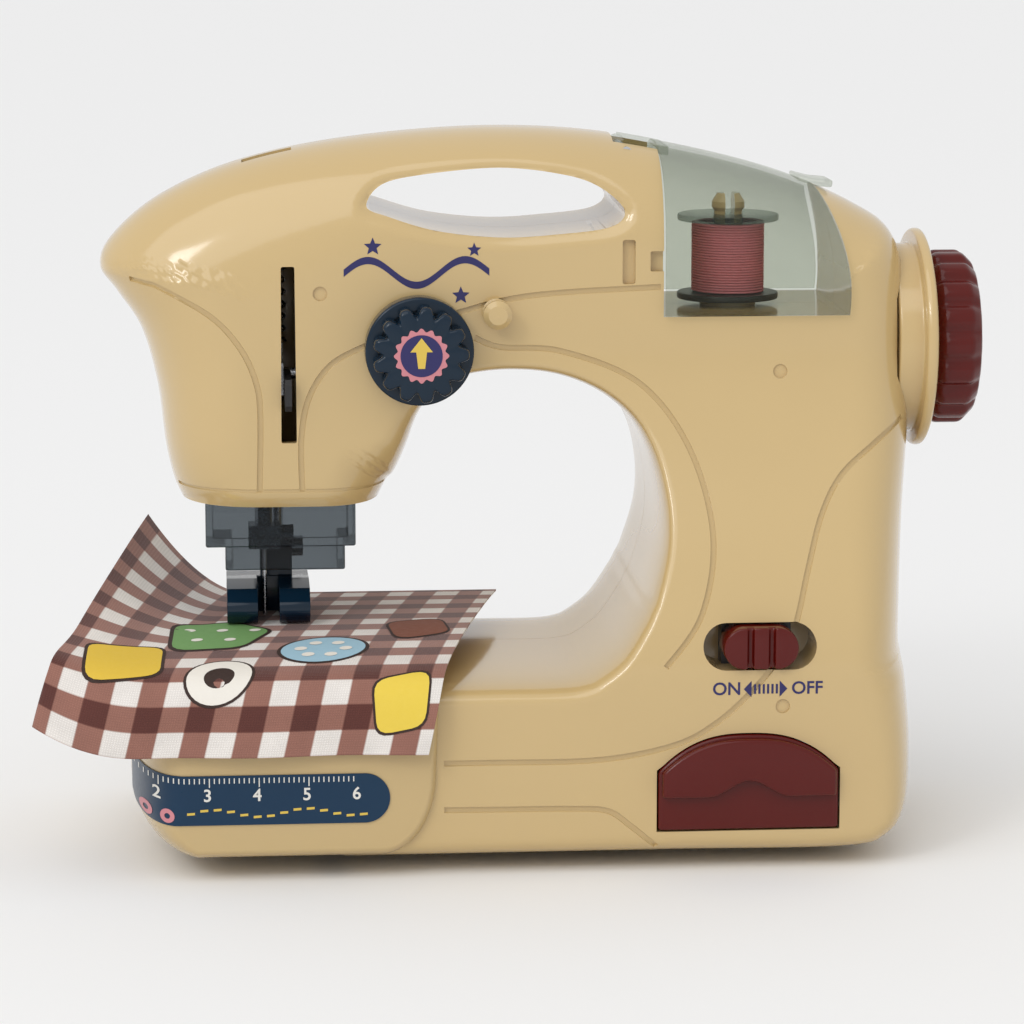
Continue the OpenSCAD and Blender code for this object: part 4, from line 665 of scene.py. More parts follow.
def shell(side, name, node):
    rings = skin(side)
    n, m = rings.shape[:2]
    block = solid(name, rings.reshape(-1, 3), loftFaces(n, m))
    block.data.materials.append(beigeAbs)
    tools = [coreTool(side)] + bothTools(side) + (frontTools() if side < 0 else rearTools())
    for tool in tools:
        tool.data.materials.clear()
        tool.data.materials.append(None)
        tool.data.materials.append(beigeAbs)
        tool.data.polygons.foreach_set("material_index", np.ones(len(tool.data.polygons), int))
    piece = combine(block, tools)
    mesh = piece.data
    bpy.data.objects.remove(piece)
    while len(mesh.materials) < 2:
        mesh.materials.append(beigeAbs)
    mesh.materials[1] = beigeAbs
    shadeSmooth(mesh, 30)
    fieldNormals(mesh, side)
    return attach(addObject(name, mesh), "machine", node)


shellFront = shell(-1, "shellFront", "front_shell")
print("front shell done", len(shellFront.data.polygons))
shellBack = shell(1, "shellBack", "rear_shell")
print("rear shell done", len(shellBack.data.polygons))


# Bed cover: a rounded box on the left end of the base, its corners as (centre, radii, first angle, roundings)
pod = {
    "left": -82, "top": 45.5, "floor": 2, "front": 48, "back": 34, "square": 2.4,
    "corners": [((-68, 16), (14, 14), 180, (13, 5)), ((-30.5, 21), (14, 19), 270, (5, 4.2)),
                ((-20.9, 41.3), (4.4, 4.2), 0, (3, 5)), ((-75, 40.5), (7, 5), 90, (6.4, 7))],
    "side": [(-82, 33.5, 12), (-82, 26, 13)], "steps": 40,
}


def podLine(count=14):
    line = []
    for (cx, cz), (rx, rz), start, (a, b) in pod["corners"]:
        for t in np.linspace(0, 1, count):
            angle = math.radians(start + 90 * t)
            line.append((cx + rx * math.cos(angle), cz + rz * math.sin(angle), a + (b - a) * t))
    return np.array(line + pod["side"], float)


def podRings(side, inset, places):
    line = podLine()
    d = np.roll(line[:, :2], -1, axis=0) - np.roll(line[:, :2], 1, axis=0)
    inward = np.column_stack([-d[:, 1], d[:, 0]]) / np.linalg.norm(d, axis=1)[:, None]
    half = pod["front"] if side < 0 else pod["back"]
    rings = []
    for u in places:
        p = line[:, :2] + inward * (line[:, 2] * u + inset)[:, None]
        y = side * max(half * float(rolled(u, 1, pod["square"])) - (inset if u > 0 else 0), 0)
        rings.append(np.column_stack([p[:, 0], np.full(len(p), y), p[:, 1]]))
    return rings


def podBlock(name, inset, places):
    rings = podRings(-1, inset, places[::-1])[:-1] + podRings(1, inset, places)
    # the flat ends run in towards their middles, so that each end closes on a small face
    front, back = rings[0].mean(axis=0), rings[-1].mean(axis=0)
    start = [front + (rings[0] - front) * k for k in (0.02, 0.5)]
    end = [back + (rings[-1] - back) * k for k in (0.5, 0.02)]
    rings = start + rings + end
    return solid(name, np.vstack(rings), loftFaces(len(rings), len(rings[0])))


places = 1 - np.cos(np.linspace(0, math.pi / 2, pod["steps"])) ** 1.6
cover = podBlock("bedCover", 0, places)
hollow = podBlock("hollow", 2, places[::4])
hollow = combine(hollow, [boxTool("endWall", (-39.6, -100, -10), (200, 100, 100))])
edge = [(-1, z) for z in np.linspace(40, 2, 40)] + [(1, z) for z in np.linspace(2, 40, 40)]
ends = [(s * (depthAt(-28, min(max(z, 2.02), 39.98), s) + 0.3), z) for s, z in edge]
sleeveSpots = [(x, y, z + (0.3 if z > 20 else -0.3)) for x in (-42, -8) for y, z in ends]
sleeve = solid("baseEnd", sleeveSpots, loftFaces(2, len(ends)))
cover = combine(cover, [
    hollow, sleeve, boxTool("underside", (-200, -100, -5), (200, 100, 2.6)),
    boxTool("plateSeat", (-65, -14, 44.7), (-39, 14, 47)),
    boxTool("needleWell", (-62, -11, 24.9), (-42, 11, 47)),
])
coverMesh = cover.data
bpy.data.objects.remove(cover)
dress(coverMesh, "bedCover", coverAbs, 35, "machine", "bed_cover")
print("bed cover done")


def podFace(x, z):
    # how far forward the cover's front stands at x, z
    (cx, cz), (radius, _), _, (upright, flat) = pod["corners"][0]
    vx, vz = x - cx, z - cz
    if vz >= 0:
        d, r = x - pod["left"], upright
    elif vx < 0:
        turn = math.atan2(-vz, -vx) / (math.pi / 2)
        d, r = radius - math.hypot(vx, vz), upright + (flat - upright) * turn
    else:
        d, r = z - pod["floor"], flat
    return pod["front"] * float(rolled(d, r, pod["square"]))


# Ruler label: printed film that follows the cover's front, with a round right end
label = {"low": 12.3, "high": 22.6, "right": -28.7, "left": -81.2, "centimetre": 10.1, "two": -75.9,
         "film": 0.3}


def labelSpot(x, z, lift):
    e = 0.15
    slope = (podFace(x + e, z) - podFace(x - e, z)) / (2 * e)
    n = np.array([-slope, -1.0, 0]) / math.hypot(slope, 1)
    return np.array([x, -podFace(x, z), z]) + lift * n


def labelHalf(x):
    r = (label["high"] - label["low"]) / 2
    over = x - (label["right"] - r)
    return math.sqrt(max(r * r - over * over, 0)) if over > 0 else r


def labelFilm():
    # the bend at the left corner and the round right end have many points
    bend = label["left"] + 12 * np.linspace(0, 1, 30) ** 2
    straight = np.linspace(label["left"] + 12.5, label["right"] - 5.2, 30)
    end = label["right"] - 5.15 * (1 - np.sin(np.linspace(0, math.pi / 2, 20)))
    xs = np.concatenate([bend, straight, end])
    mid, columns = (label["low"] + label["high"]) / 2, 9
    points = []
    for lift in (label["film"], 0.05):
        for x in xs:
            half = max(labelHalf(x), 0.02)
            points += [labelSpot(x, mid + half * v, lift) for v in np.linspace(-1, 1, columns)]
    faces = sheetFaces(len(xs), columns)
    piece = makePiece("rulerLabel", points, faces, labelInk, 40, "machine", "ruler_label")
    outward(piece.data)


labelInk = plastic("printed film, navy ink", "#17344e", 0.3, mirror=0.25)
whiteInk = plastic("white ink, screen printed", "#dcdad4", 0.4)
yellowInk = plastic("yellow ink, screen printed", "#d8b94e", 0.4)
pinkInk = plastic("pink ink, screen printed", "#c98088", 0.4)
labelFilm()


def wordMesh(name, words, size):
    curve = bpy.data.curves.new(name, "FONT")
    curve.body, curve.size, curve.resolution_u = words, size, 4
    curve.align_x, curve.align_y, curve.offset = "CENTER", "CENTER", 0.06
    text = addObject(name, curve)
    bpy.context.view_layer.update()
    return settle(text)


def flatPiece(name, mesh, spot, material, body, thick=0.06):
    # bends a flat shape onto a surface: spot(u, v, lift) in millimetres
    work = bmesh.new()
    work.from_mesh(mesh)
    bmesh.ops.triangulate(work, faces=work.faces)
    for _ in range(2):
        long = [e for e in work.edges if e.calc_length() > 1.2]
        if long:
            bmesh.ops.subdivide_edges(work, edges=long, cuts=1)
            bmesh.ops.triangulate(work, faces=work.faces)
    for v in work.verts:
        v.co = Vector(spot(v.co.x, v.co.y, thick)) * mm
    work.to_mesh(mesh)
    work.free()
    return dress(mesh, name, material, 30, body)


def outlineMesh(name, outline, hole=None):
    work = bmesh.new()
    a = [work.verts.new((x, y, 0)) for x, y in outline]
    if hole is None:
        work.faces.new(a)
    else:
        b = [work.verts.new((x, y, 0)) for x, y in hole]
        n = len(a)
        for i in range(n):
            work.faces.new((a[i], a[(i + 1) % n], b[(i + 1) % n], b[i]))
    mesh = bpy.data.meshes.new(name)
    work.to_mesh(mesh)
    work.free()
    return mesh


def joinMeshes(name, meshes):
    work = bmesh.new()
    for mesh in meshes:
        work.from_mesh(mesh)
        bpy.data.meshes.remove(mesh)
    out = bpy.data.meshes.new(name)
    work.to_mesh(out)
    work.free()
    return out


def shifted(mesh, du, dv):
    for v in mesh.vertices:
        v.co.x += du
        v.co.y += dv
    return mesh


def starOutline(x, y, outer, inner, count=5):
    spots = [(outer if k % 2 == 0 else inner, math.pi * k / count) for k in range(2 * count)]
    return [(x + r * math.sin(a), y + r * math.cos(a)) for r, a in spots]


def growTree(name, numbers, material):
    # a node group with inputs for numbers and one material
    tree = bpy.data.node_groups.new(name, "GeometryNodeTree")
    for key, value in numbers.items():
        kind = "NodeSocketInt" if isinstance(value, int) else "NodeSocketFloat"
        tree.interface.new_socket(key, in_out="INPUT", socket_type=kind).default_value = value
    tree.interface.new_socket(material, in_out="INPUT", socket_type="NodeSocketMaterial")
    tree.interface.new_socket("Geometry", in_out="OUTPUT", socket_type="NodeSocketGeometry")
    return tree, tree.nodes.new("NodeGroupInput").outputs


def endTree(tree, shape, material):
    real = addNode(tree, "GeometryNodeRealizeInstances", Geometry=shape)
    ink = addNode(tree, "GeometryNodeSetMaterial", Geometry=real.outputs[0], Material=material)
    tree.links.new(ink.outputs[0], tree.nodes.new("NodeGroupOutput").inputs[0])
    return tree


# Scale on the label: ticks by Geometry Nodes, then bent onto the film
def tickTree():
    numbers = {"Count": 48, "Pitch": 1.0, "Short": 1.2, "Long": 2.0, "Width": 0.22}
    tree, given = growTree("scaleTicks", numbers, "Ink")
    index = addNode(tree, "GeometryNodeInputIndex")
    place = addNode(tree, "ShaderNodeMath", {"operation": "MODULO"}, i0=index.outputs[0], i1=10.0)
    fifth = addNode(tree, "FunctionNodeCompare", {"data_type": "INT", "operation": "EQUAL"},
                    i2=place.outputs[0],
                    i3=5)
    height = addNode(tree, "GeometryNodeSwitch", {"input_type": "FLOAT"}, i0=fifth.outputs[0],
                     i1=given["Short"], i2=given["Long"])
    step = addNode(tree, "ShaderNodeCombineXYZ", i0=given["Pitch"])
    line = addNode(tree, "GeometryNodeMeshLine", {"mode": "OFFSET"}, Count=given["Count"],
                   Offset=step.outputs[0])
    bar = addNode(tree, "GeometryNodeMeshGrid", Size_X=given["Width"], Size_Y=1.0, Vertices_X=2, Vertices_Y=3)
    drop = addNode(tree, "GeometryNodeTransform", Geometry=bar.outputs[0], Translation=(0.0, -0.5, 0.0))
    scale = addNode(tree, "ShaderNodeCombineXYZ", i0=1.0, i1=height.outputs[0], i2=1.0)
    spread = addNode(tree, "GeometryNodeInstanceOnPoints", Points=line.outputs[0], Instance=drop.outputs[0],
                     Scale=scale.outputs[0])
    return endTree(tree, spread.outputs[0], given["Ink"])


def grown(name, tree, values):
    holder = addObject(name, bpy.data.meshes.new(name))
    step = holder.modifiers.new("grow", "NODES")
    step.node_group = tree
    for item in tree.interface.items_tree:
        if item.in_out == "INPUT" and item.name in values:
            step[item.identifier] = values[item.name]
    bpy.context.view_layer.update()
    return settle(holder)


def onLabel(u, v, lift):
    return labelSpot(u, v, label["film"] + lift)


pitch = label["centimetre"]
tickSizes = {"Count": 45, "Pitch": pitch / 10, "Short": 1.1, "Long": 1.9, "Width": 0.22, "Ink": whiteInk}
ticks = grown("ticks", tickTree(), tickSizes)
first = label["two"] - pitch / 2 + 0.4
flatPiece("labelTicks", shifted(ticks, first, label["high"] - 0.5), onLabel, whiteInk, "machine")
numbers = [wordMesh("number", str(k + 2), 3.6) for k in range(5)]
for k, number in enumerate(numbers):
    shifted(number, label["two"] + pitch * k, label["high"] - 4.2)
flatPiece("labelNumbers", joinMeshes("numbers", numbers), onLabel, whiteInk, "machine")
# a plain running-stitch wave and two buttons fill the lower band
stitch = {"x": -70, "z": 14.7, "count": 14, "step": 2.7, "long": 1.6, "half": 0.25, "rise": 0.8, "tilt": 0.1}
wave = []
for k in range(stitch["count"]):
    x, h = stitch["x"] + stitch["step"] * k, stitch["half"]
    y = stitch["z"] + stitch["rise"] * math.sin(k * 0.9)
    end, lean = x + stitch["long"], stitch["tilt"]
    wave.append(outlineMesh("stitch", [(x, y - h), (end, y - h + lean), (end, y + h + lean), (x, y + h)]))
flatPiece("labelStitches", joinMeshes("wave", wave), onLabel, yellowInk, "machine")
buttons = [outlineMesh("button", circle(x, 14.2, 1.4, 28), circle(x, 14.2, 0.55, 28)) for x in (-78.2, -73.8)]
flatPiece("labelButtons", joinMeshes("buttons", buttons), onLabel, pinkInk, "machine")


def onFront(u, v, lift):
    return (u, -(depthAt(u, v) + housing["seam"] + lift), v)


# Stitched motif on the arm: a wavy thread with three plain stars
motif = {"x": -21.5, "z": 122.0, "length": 30, "rise": 2.6, "thread": 0.75}
line = []
for t in np.linspace(0, 1, 60):
    z = motif["z"] + motif["rise"] * math.sin(2 * math.pi * t * 1.5)
    line.append((motif["x"] + motif["length"] * (t - 0.5), z))
up = [(x, z + motif["thread"]) for x, z in line]
parts = [outlineMesh("threadWave", [(x, z - motif["thread"]) for x, z in line] + up[::-1])]
for x, z, r in ((-30.5, 127.4, 1.9), (-12.4, 117.2, 1.9), (-9.6, 126.6, 1.5)):
    parts.append(outlineMesh("star", starOutline(x, z, r, r * 0.45)))
flatPiece("armMotif", joinMeshes("motif", parts), onFront, navyInk, "machine")

# ON and OFF beside a striped double arrow
marks = {"x": 48.5, "z": 38.3, "size": 3.7, "bars": 6, "start": -2.4, "pitch": 0.9, "bar": 0.45, "half": 1.0}
arrow = []
for k in range(marks["bars"]):
    x = marks["x"] + marks["start"] + marks["pitch"] * k
    low, high, end = marks["z"] - marks["half"], marks["z"] + marks["half"], x + marks["bar"]
    arrow.append(outlineMesh("bar", [(x, low), (end, low), (end, high), (x, high)]))
for s in (-1, 1):
    head = [(marks["x"] + s * u, marks["z"] + v) for u, v in ((2.9, -1.7), (4.5, 0), (2.9, 1.7))]
    arrow.append(outlineMesh("head", head[::s]))
words = [shifted(wordMesh("on", "ON", marks["size"]), marks["x"] - 8.0, marks["z"]),
         shifted(wordMesh("off", "OFF", marks["size"]), marks["x"] + 8.6, marks["z"])]
flatPiece("switchMarks", joinMeshes("marks", arrow + words), onFront, navyInk, "machine")
print("prints done")


# Cloth: a gingham square that lies on the bed cover, hangs over its front and curls up at the back left
cloth = {
    "thick": 0.35, "width": 78, "columns": 110, "rows": 130, "check": 5.2, "thread": 0.5,
    "left": -78, "skew": 23, "narrow": 1.4, "widen": 3.4, "curl": 18, "curlWide": 0.28, "curlLong": 0.85,
    "hangFrom": 0.8, "hangOver": 0.2, "ripple": 0.7, "tipFrom": 0.6, "tipOver": 0.4, "tipBack": 5, "tipUp": 6,
}


def overPod(y):
    return pod["top"] + 0.5 - 5 * (1 - (1 - min(abs(y) / pod["front"], 1) ** 2.4) ** (1 / 2.4))


def clothLine():
    front, bed = pod["front"], housing["bed"]
    onTop = (27.5, 25, 19, 14, 9.5, 5, 0.9, -0.9, -5, -10, -15, -20, -26, -32, -38, -43)
    path = [(y, overPod(y)) for y in onTop]
    path += [(-front + 1.4, bed + 2.4), (-front - 0.7, bed + 0.4), (-front - 1.8, bed - 2.4),
             (-front - 2.2, bed - 5.6), (-front - 2.3, bed - 9.4), (-front - 2.2, bed - 13)]
    fine = spline(path, 24)
    run = np.concatenate([[0], np.cumsum(np.linalg.norm(np.diff(fine, axis=0), axis=1))])
    at = np.linspace(0, run[-1], cloth["rows"])
    return np.column_stack([np.interp(at, run, fine[:, 0]), np.interp(at, run, fine[:, 1])]), run[-1]


def clothMaterial():
    # yarn-dyed cotton: white and brown checks with a plain weave, printed patches on top
    material, tree = newMaterial("cotton gingham, yarn dyed plain weave")
    place = addNode(tree, "ShaderNodeUVMap", {"uv_map": "flat"})
    axes = addNode(tree, "ShaderNodeSeparateXYZ", Vector=place.outputs[0])
    bands = []
    turns = 1000 / (2 * cloth["check"])
    for axis in axes.outputs[:2]:
        run = addNode(tree, "ShaderNodeMath", {"operation": "MULTIPLY"}, i0=axis, i1=turns)
        part = addNode(tree, "ShaderNodeMath", {"operation": "FRACT"}, i0=run.outputs[0])
        far = addNode(tree, "ShaderNodeMath", {"operation": "SUBTRACT"}, i0=part.outputs[0], i1=0.5)
        size = addNode(tree, "ShaderNodeMath", {"operation": "ABSOLUTE"}, i0=far.outputs[0])
        bands.append(addNode(tree, "ShaderNodeMapRange", i0=size.outputs[0], i1=0.235, i2=0.265).outputs[0])
    both = addNode(tree, "ShaderNodeMath", {"operation": "ADD"}, i0=bands[0], i1=bands[1])
    half = addNode(tree, "ShaderNodeMath", {"operation": "MULTIPLY"}, i0=both.outputs[0], i1=0.5)
    ramp = addNode(tree, "ShaderNodeValToRGB", i0=half.outputs[0])
    ramp.color_ramp.elements[0].color = linear("#ece6e0")
    ramp.color_ramp.elements[1].color = linear("#5b2b22")
    middle = ramp.color_ramp.elements.new(0.5)
    middle.color = linear("#98685a")
    # threads drawn at 0.5 mm, coarser than the real 0.25 mm, so that they show
    pitch = 1000 / cloth["thread"] / (2 * math.pi) * 2
    yarns = []
    for way in ("X", "Y"):
        yarn = addNode(tree, "ShaderNodeTexWave", {"bands_direction": way}, Vector=place.outputs[0],
                       Scale=pitch)
        yarns.append(yarn.outputs["Fac"])
    cross = addNode(tree, "ShaderNodeMath", {"operation": "MULTIPLY"}, i0=yarns[0], i1=yarns[1])
    weave = cross.outputs[0]
    soft = addNode(tree, "ShaderNodeTexNoise", Vector=place.outputs[0], Scale=140.0, Detail=3.0)
    lighter = addNode(tree, "ShaderNodeMapRange", i0=soft.outputs["Fac"], i3=0.82, i4=1.12)
    threadShade = addNode(tree, "ShaderNodeMapRange", i0=weave, i3=0.86, i4=1.06)
    shade = addNode(tree, "ShaderNodeMath", {"operation": "MULTIPLY"}, i0=lighter.outputs[0],
                    i1=threadShade.outputs[0])
    tone = addNode(tree, "ShaderNodeVectorMath", {"operation": "SCALE"}, i0=ramp.outputs[0],
                   Scale=shade.outputs[0])
    bump = addNode(tree, "ShaderNodeBump", Height=weave, Strength=0.35, Distance=0.0002)
    shader = addNode(tree, "ShaderNodeBsdfPrincipled", Base_Color=tone.outputs[0], Roughness=0.85,
                     Normal=bump.outputs[0], Sheen_Weight=0.25)
    endMaterial(tree, shader)
    return material


def clothPoint(u, i, path, side):
    v = i / (len(path) - 1)
    y, z = path[i]
    d = path[min(i + 1, len(path) - 1)] - path[max(i - 1, 0)]
    d = d / np.linalg.norm(d)
    n = np.array([d[1], -d[0]])
    left = cloth["left"] - cloth["skew"] * v
    x = left + (cloth["width"] - cloth["narrow"] + cloth["widen"] * v) * u
    across, along = max(1 - u / cloth["curlWide"], 0), max(1 - v / cloth["curlLong"], 0)
    curl = cloth["curl"] * across**1.8 * along**1.1
    tip = across**2 * smooth((v - cloth["tipFrom"]) / cloth["tipOver"])
    hang = smooth((v - cloth["hangFrom"]) / cloth["hangOver"])
    ripple = hang * cloth["ripple"] * (1 + math.sin(math.radians(u * 800)))
    h = side * cloth["thick"] / 2
    return (x, y + n[0] * h - ripple + cloth["tipBack"] * tip, z + n[1] * h + curl + cloth["tipUp"] * tip)


def makeCloth():
    path, run = clothLine()
    us = np.linspace(0, 1, cloth["columns"])
    n, m = len(us), len(path)
    points, uvs = [], []
    for side in (1, -1):
        for u in us:
            for i in range(m):
                points.append(clothPoint(u, i, path, side))
                uvs.append((u * cloth["width"], run * i / (m - 1)))
    faces = sheetFaces(n, m)
    piece = makePiece("practiceCloth", points, faces, clothMaterial(), 70, "machine", "practice_cloth", uvs)
    outward(piece.data)
    return piece, path, run


practiceCloth, clothPath, clothRun = makeCloth()


def onCloth(u, v, lift):
    # u and v in millimetres on the flat cloth
    s = np.clip(v / clothRun, 0, 1) * (len(clothPath) - 1)
    i = int(min(s, len(clothPath) - 2))
    a = np.array(clothPoint(u / cloth["width"], i, clothPath, 1))
    b = np.array(clothPoint(u / cloth["width"], i + 1, clothPath, 1))
    c = np.array(clothPoint(min(u / cloth["width"] + 0.004, 1), i, clothPath, 1))
    n = np.cross(c - a, b - a)
    n = n / np.linalg.norm(n)
    if n[2] < 0 and n[1] > 0:
        n = -n
    p = a + (s - i) * (b - a)
    return p + n * lift


def feltInk(name, code):
    return plastic(name, code, 0.75, grain=0.4)


patches = [
    {"name": "Leaf", "ink": feltInk("green printed cotton", "#6f9a5c"),
     "shape": rounded([(16, 40), (27, 36), (37, 44), (34, 58), (20, 60)], 5)},
    {"name": "Disc", "ink": feltInk("light blue printed cotton", "#9cc0d2"),
     "shape": circle(51, 60, 8.5, 40)},
    {"name": "Tile", "ink": feltInk("yellow printed cotton", "#dcb93f"),
     "shape": rounded([(4, 62), (18, 58), (21, 73), (7, 77)], 3)},
    {"name": "Shield", "ink": feltInk("brown printed cotton", "#7d4a37"),
     "shape": rounded([(60, 38), (71, 35), (75, 48), (65, 54)], 4)},
    {"name": "Ring", "ink": feltInk("white printed cotton", "#e6e1d8"), "shape": circle(33, 74, 6.4, 32),
     "hole": circle(33, 74, 3, 32)},
    {"name": "Corner", "ink": feltInk("lemon printed cotton", "#e3c64a"),
     "shape": rounded([(64, 76), (75, 73), (76, 85), (67, 87)], 3)},
]
edgeInk = feltInk("dark brown printed outline", "#33211b")
for p in patches:
    shape = np.array(p["shape"])
    middle = np.mean(shape, axis=0)
    edge = outlineMesh("edge", middle + (shape - middle) * 1.09)
    flatPiece("clothEdge" + p["name"], edge, onCloth, edgeInk, "machine", thick=0.1)
    patch = outlineMesh("patch", p["shape"], p.get("hole"))
    flatPiece("clothPatch" + p["name"], patch, onCloth, p["ink"], "machine", thick=0.16)
turns = np.linspace(0, 2 * math.pi, 6, endpoint=False)
spots = [(51 + 4.6 * math.cos(a), 60 + 4.6 * math.sin(a), 1.3) for a in turns]
spots += [(20 + 3.4 * k, 44 + 8 * (k % 2), 1.2) for k in range(5)]
dots = [outlineMesh("dot", circle(x, y, r, 16)) for x, y, r in spots]
flatPiece("clothDots", joinMeshes("dots", dots), onCloth, patches[4]["ink"], "machine", thick=0.24)
print("cloth done", round(clothRun, 1))


def roundEdges(tool, width, segments=3):
    step = tool.modifiers.new("round", "BEVEL")
    step.width, step.segments, step.use_clamp_overlap = width * mm, segments, True
    step.limit_method, step.angle_limit = "ANGLE", math.radians(35)
    bpy.context.view_layer.update()
    return settle(tool)


# Hand wheel and collar
wheel = {"z": 104.8, "near": 88.4, "far": 98.2, "radius": 18.5, "flutes": 18, "dip": 1.1, "hub": 2.55}
r, near, far = wheel["radius"], wheel["near"], wheel["far"]
profile = filletedProfile([(wheel["hub"], near), (r - 1.6, near), (r, near + 1.6), (r, far - 2.4),
                           (r - 2.4, far), (r - 4.6, far), (r - 6, far - 1.8), (wheel["hub"], far - 1.8)],
                          0.9, 6)
turnedPiece("handWheel", profile + [profile[0]], "x", (0, wheel["z"]), redAbs, 14 * wheel["flutes"],
            lobes=wheel["flutes"], dip=lambda q: wheel["dip"] * smooth((q - wheel["radius"] + 4) / 4),
            body="wheel", node="hand_wheel")
collar = {"neck": 20, "flange": 23.2, "start": 80, "back": 85.2, "face": 87.8, "bore": 8, "wall": 2}
neck, flange, back, face = (collar[k] for k in ("neck", "flange", "back", "face"))
inner = neck - collar["wall"]
p = filletedProfile([(inner, collar["start"]), (neck, collar["start"]), (neck, back),
                     (flange - 0.4, back + 0.1), (flange, face - 1.8), (flange, face - 0.6),
                     (flange - 1.2, face), (collar["bore"], face), (collar["bore"], back + 0.4),
                     (inner, back + 0.4)], 0.6, 5)
turnedPiece("wheelCollar", p + [p[0]], "x", (0, wheel["z"]), beigeAbs, 120, body="machine")

# Tension dial: a round tier under a lobed one, with a printed disc on its face
dial = {"x": -21.2, "z": 106.3, "near": 23.5, "radius": 11.2, "height": 11.6, "step": 5.4, "lobes": 13,
        "hole": 1.75, "ledge": 8.6, "grip": 9.9, "dip": 1.9}
near, hole, centre = dial["near"], dial["hole"], (dial["x"], dial["z"])
top, step = near + dial["height"], near + dial["step"]
low = filletedProfile([(hole, near), (dial["radius"], near), (dial["radius"], step), (dial["ledge"], step)],
                      0.7, 5)
low += [(dial["ledge"], step - 0.4), (hole, step - 0.4), low[0]]
turnedPiece("dialTier", low, "y", centre, navyAbs, 96, body="dial")
high = filletedProfile([(hole, step - 0.3), (dial["grip"], step - 0.3), (dial["grip"], top), (0.02, top)],
                       1.3, 6)
turnedPiece("dialGrip", high, "y", centre, navyAbs, 16 * dial["lobes"], lobes=dial["lobes"],
            dip=lambda q: dial["dip"] * smooth((q - 5.5) / 3.2), body="dial", node="tension_dial")


def onDial(u, v, lift):
    return (dial["x"] + u, -(top + 0.08 + lift), dial["z"] + v)


scallop = []
for a in np.linspace(0, 2 * math.pi, 160, endpoint=False):
    reach = 5.3 + 0.35 * math.cos(16 * a)
    scallop.append((reach * math.cos(a), reach * math.sin(a)))
disc = flatPiece("dialDisc", outlineMesh("disc", scallop), onDial, pinkInk, "dial", 0.05)
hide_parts("dial_label")
flatPiece("dialFace", outlineMesh("face", circle(0, 0, 4.3, 64)), onDial, navyInk, "dial", 0.1)
pointer = [(-0.7, -2.6), (0.7, -2.6), (1.1, 0.8), (2.3, 0.8), (0, 3.7), (-2.3, 0.8), (-1.1, 0.8)]
flatPiece("dialPointer", outlineMesh("pointer", pointer), onDial, yellowInk, "dial", 0.15)
print("wheel and dial done")


# Clear guard under the head
guard = {"mid": -49.5, "thick": 1.5, "top": 73.2, "step": 64.5, "low": 58.4, "left": 16, "right": 15.4,
         "front": 16, "lowLeft": 11.9, "lowRight": 13.2, "lowFront": 14, "edge": 0.75}
m, t, step, over = guard["mid"], guard["thick"], guard["step"], guard["top"] + 1
left, right = m - guard["left"], m + guard["right"]
lowLeft, lowRight = m - guard["lowLeft"], m + guard["lowRight"]
outer = boxTool("guard", (left, -guard["front"], step - guard["edge"]), (right, -2, guard["top"]))
lower = boxTool("guardLow", (lowLeft, -guard["lowFront"], guard["low"]), (lowRight, -2, step))
body = combine(outer, [lower], "UNION")
inside = boxTool("inside", (left + t, -guard["front"] + t, step + guard["edge"]), (right - t, 10, over))
insideLow = boxTool("insideLow", (lowLeft + t, -guard["lowFront"] + t, guard["low"] - 1),
                    (lowRight - t, 10, over))
body = combine(body, [inside, insideLow])
dress(roundEdges(body, 0.45, 3), "needleGuard", guardClear, 40, "machine", "needle_guard")

# Presser foot with two tall toes
foot = {"x": -52.4, "half": 8.75, "slot": 2.3, "z": 46.5}
z = foot["z"]
side = rounded([(6, z), (6, z + 7.5), (-2, z + 8), (-10, z + 7.2), (-13.2, z + 4.6), (-13.4, z + 2.4),
                (-11, z)], 1.6)
toeHalf, toeMiddle = (foot["half"] - foot["slot"]) / 2, (foot["half"] + foot["slot"]) / 2
toes = []
for s in (-1, 1):
    middle = foot["x"] + s * toeMiddle
    toes.append(prism("toe", side, middle - toeHalf, middle + toeHalf, "x"))
bridge = boxTool("bridge", (foot["x"] - foot["half"], 3, z), (foot["x"] + foot["half"], 9.5, z + 7.5))
ankle = boxTool("ankle", (-53.9, 3.8, z + 2), (-47.1, 17.6, z + 15))
footSolid = combine(toes[0], [toes[1], bridge, ankle], "UNION")
dress(roundEdges(footSolid, 0.6, 3), "presserFoot", navyAbs, 40, "presser", "presser_foot")

# Smoky lid over the spool
lidRows = 60


def lidSheet():
    rise = np.sin(np.linspace(0, math.pi / 2, 46))
    outerRows, innerRows = [], []
    for u in np.linspace(0, 1, lidRows):
        row = []
        for sideSign in (-1, 1):
            seq = rise if sideSign < 0 else rise[::-1]
            xs = np.array([lidX(u, q) for q in seq])
            zs = np.array([lid["low"] + (topAt(x) - lid["low"]) * q for x, q in zip(xs, seq)])
            half = halfDepth(np.column_stack([xs, zs]), sideSign) * (seq < 1)
            row += [(x, sideSign * (h + lid["proud"]), w) for x, h, w in zip(xs, half, zs)]
        row = np.array(row)
        d = np.gradient(row, axis=0)
        n = np.column_stack([0 * d[:, 0], d[:, 2], -d[:, 1]])
        n /= np.linalg.norm(n, axis=1)[:, None]
        outerRows.append(row)
        innerRows.append(row + lid["wall"] * n)
    return solid("lid", np.vstack(outerRows + innerRows), sheetFaces(lidRows, len(outerRows[0])))


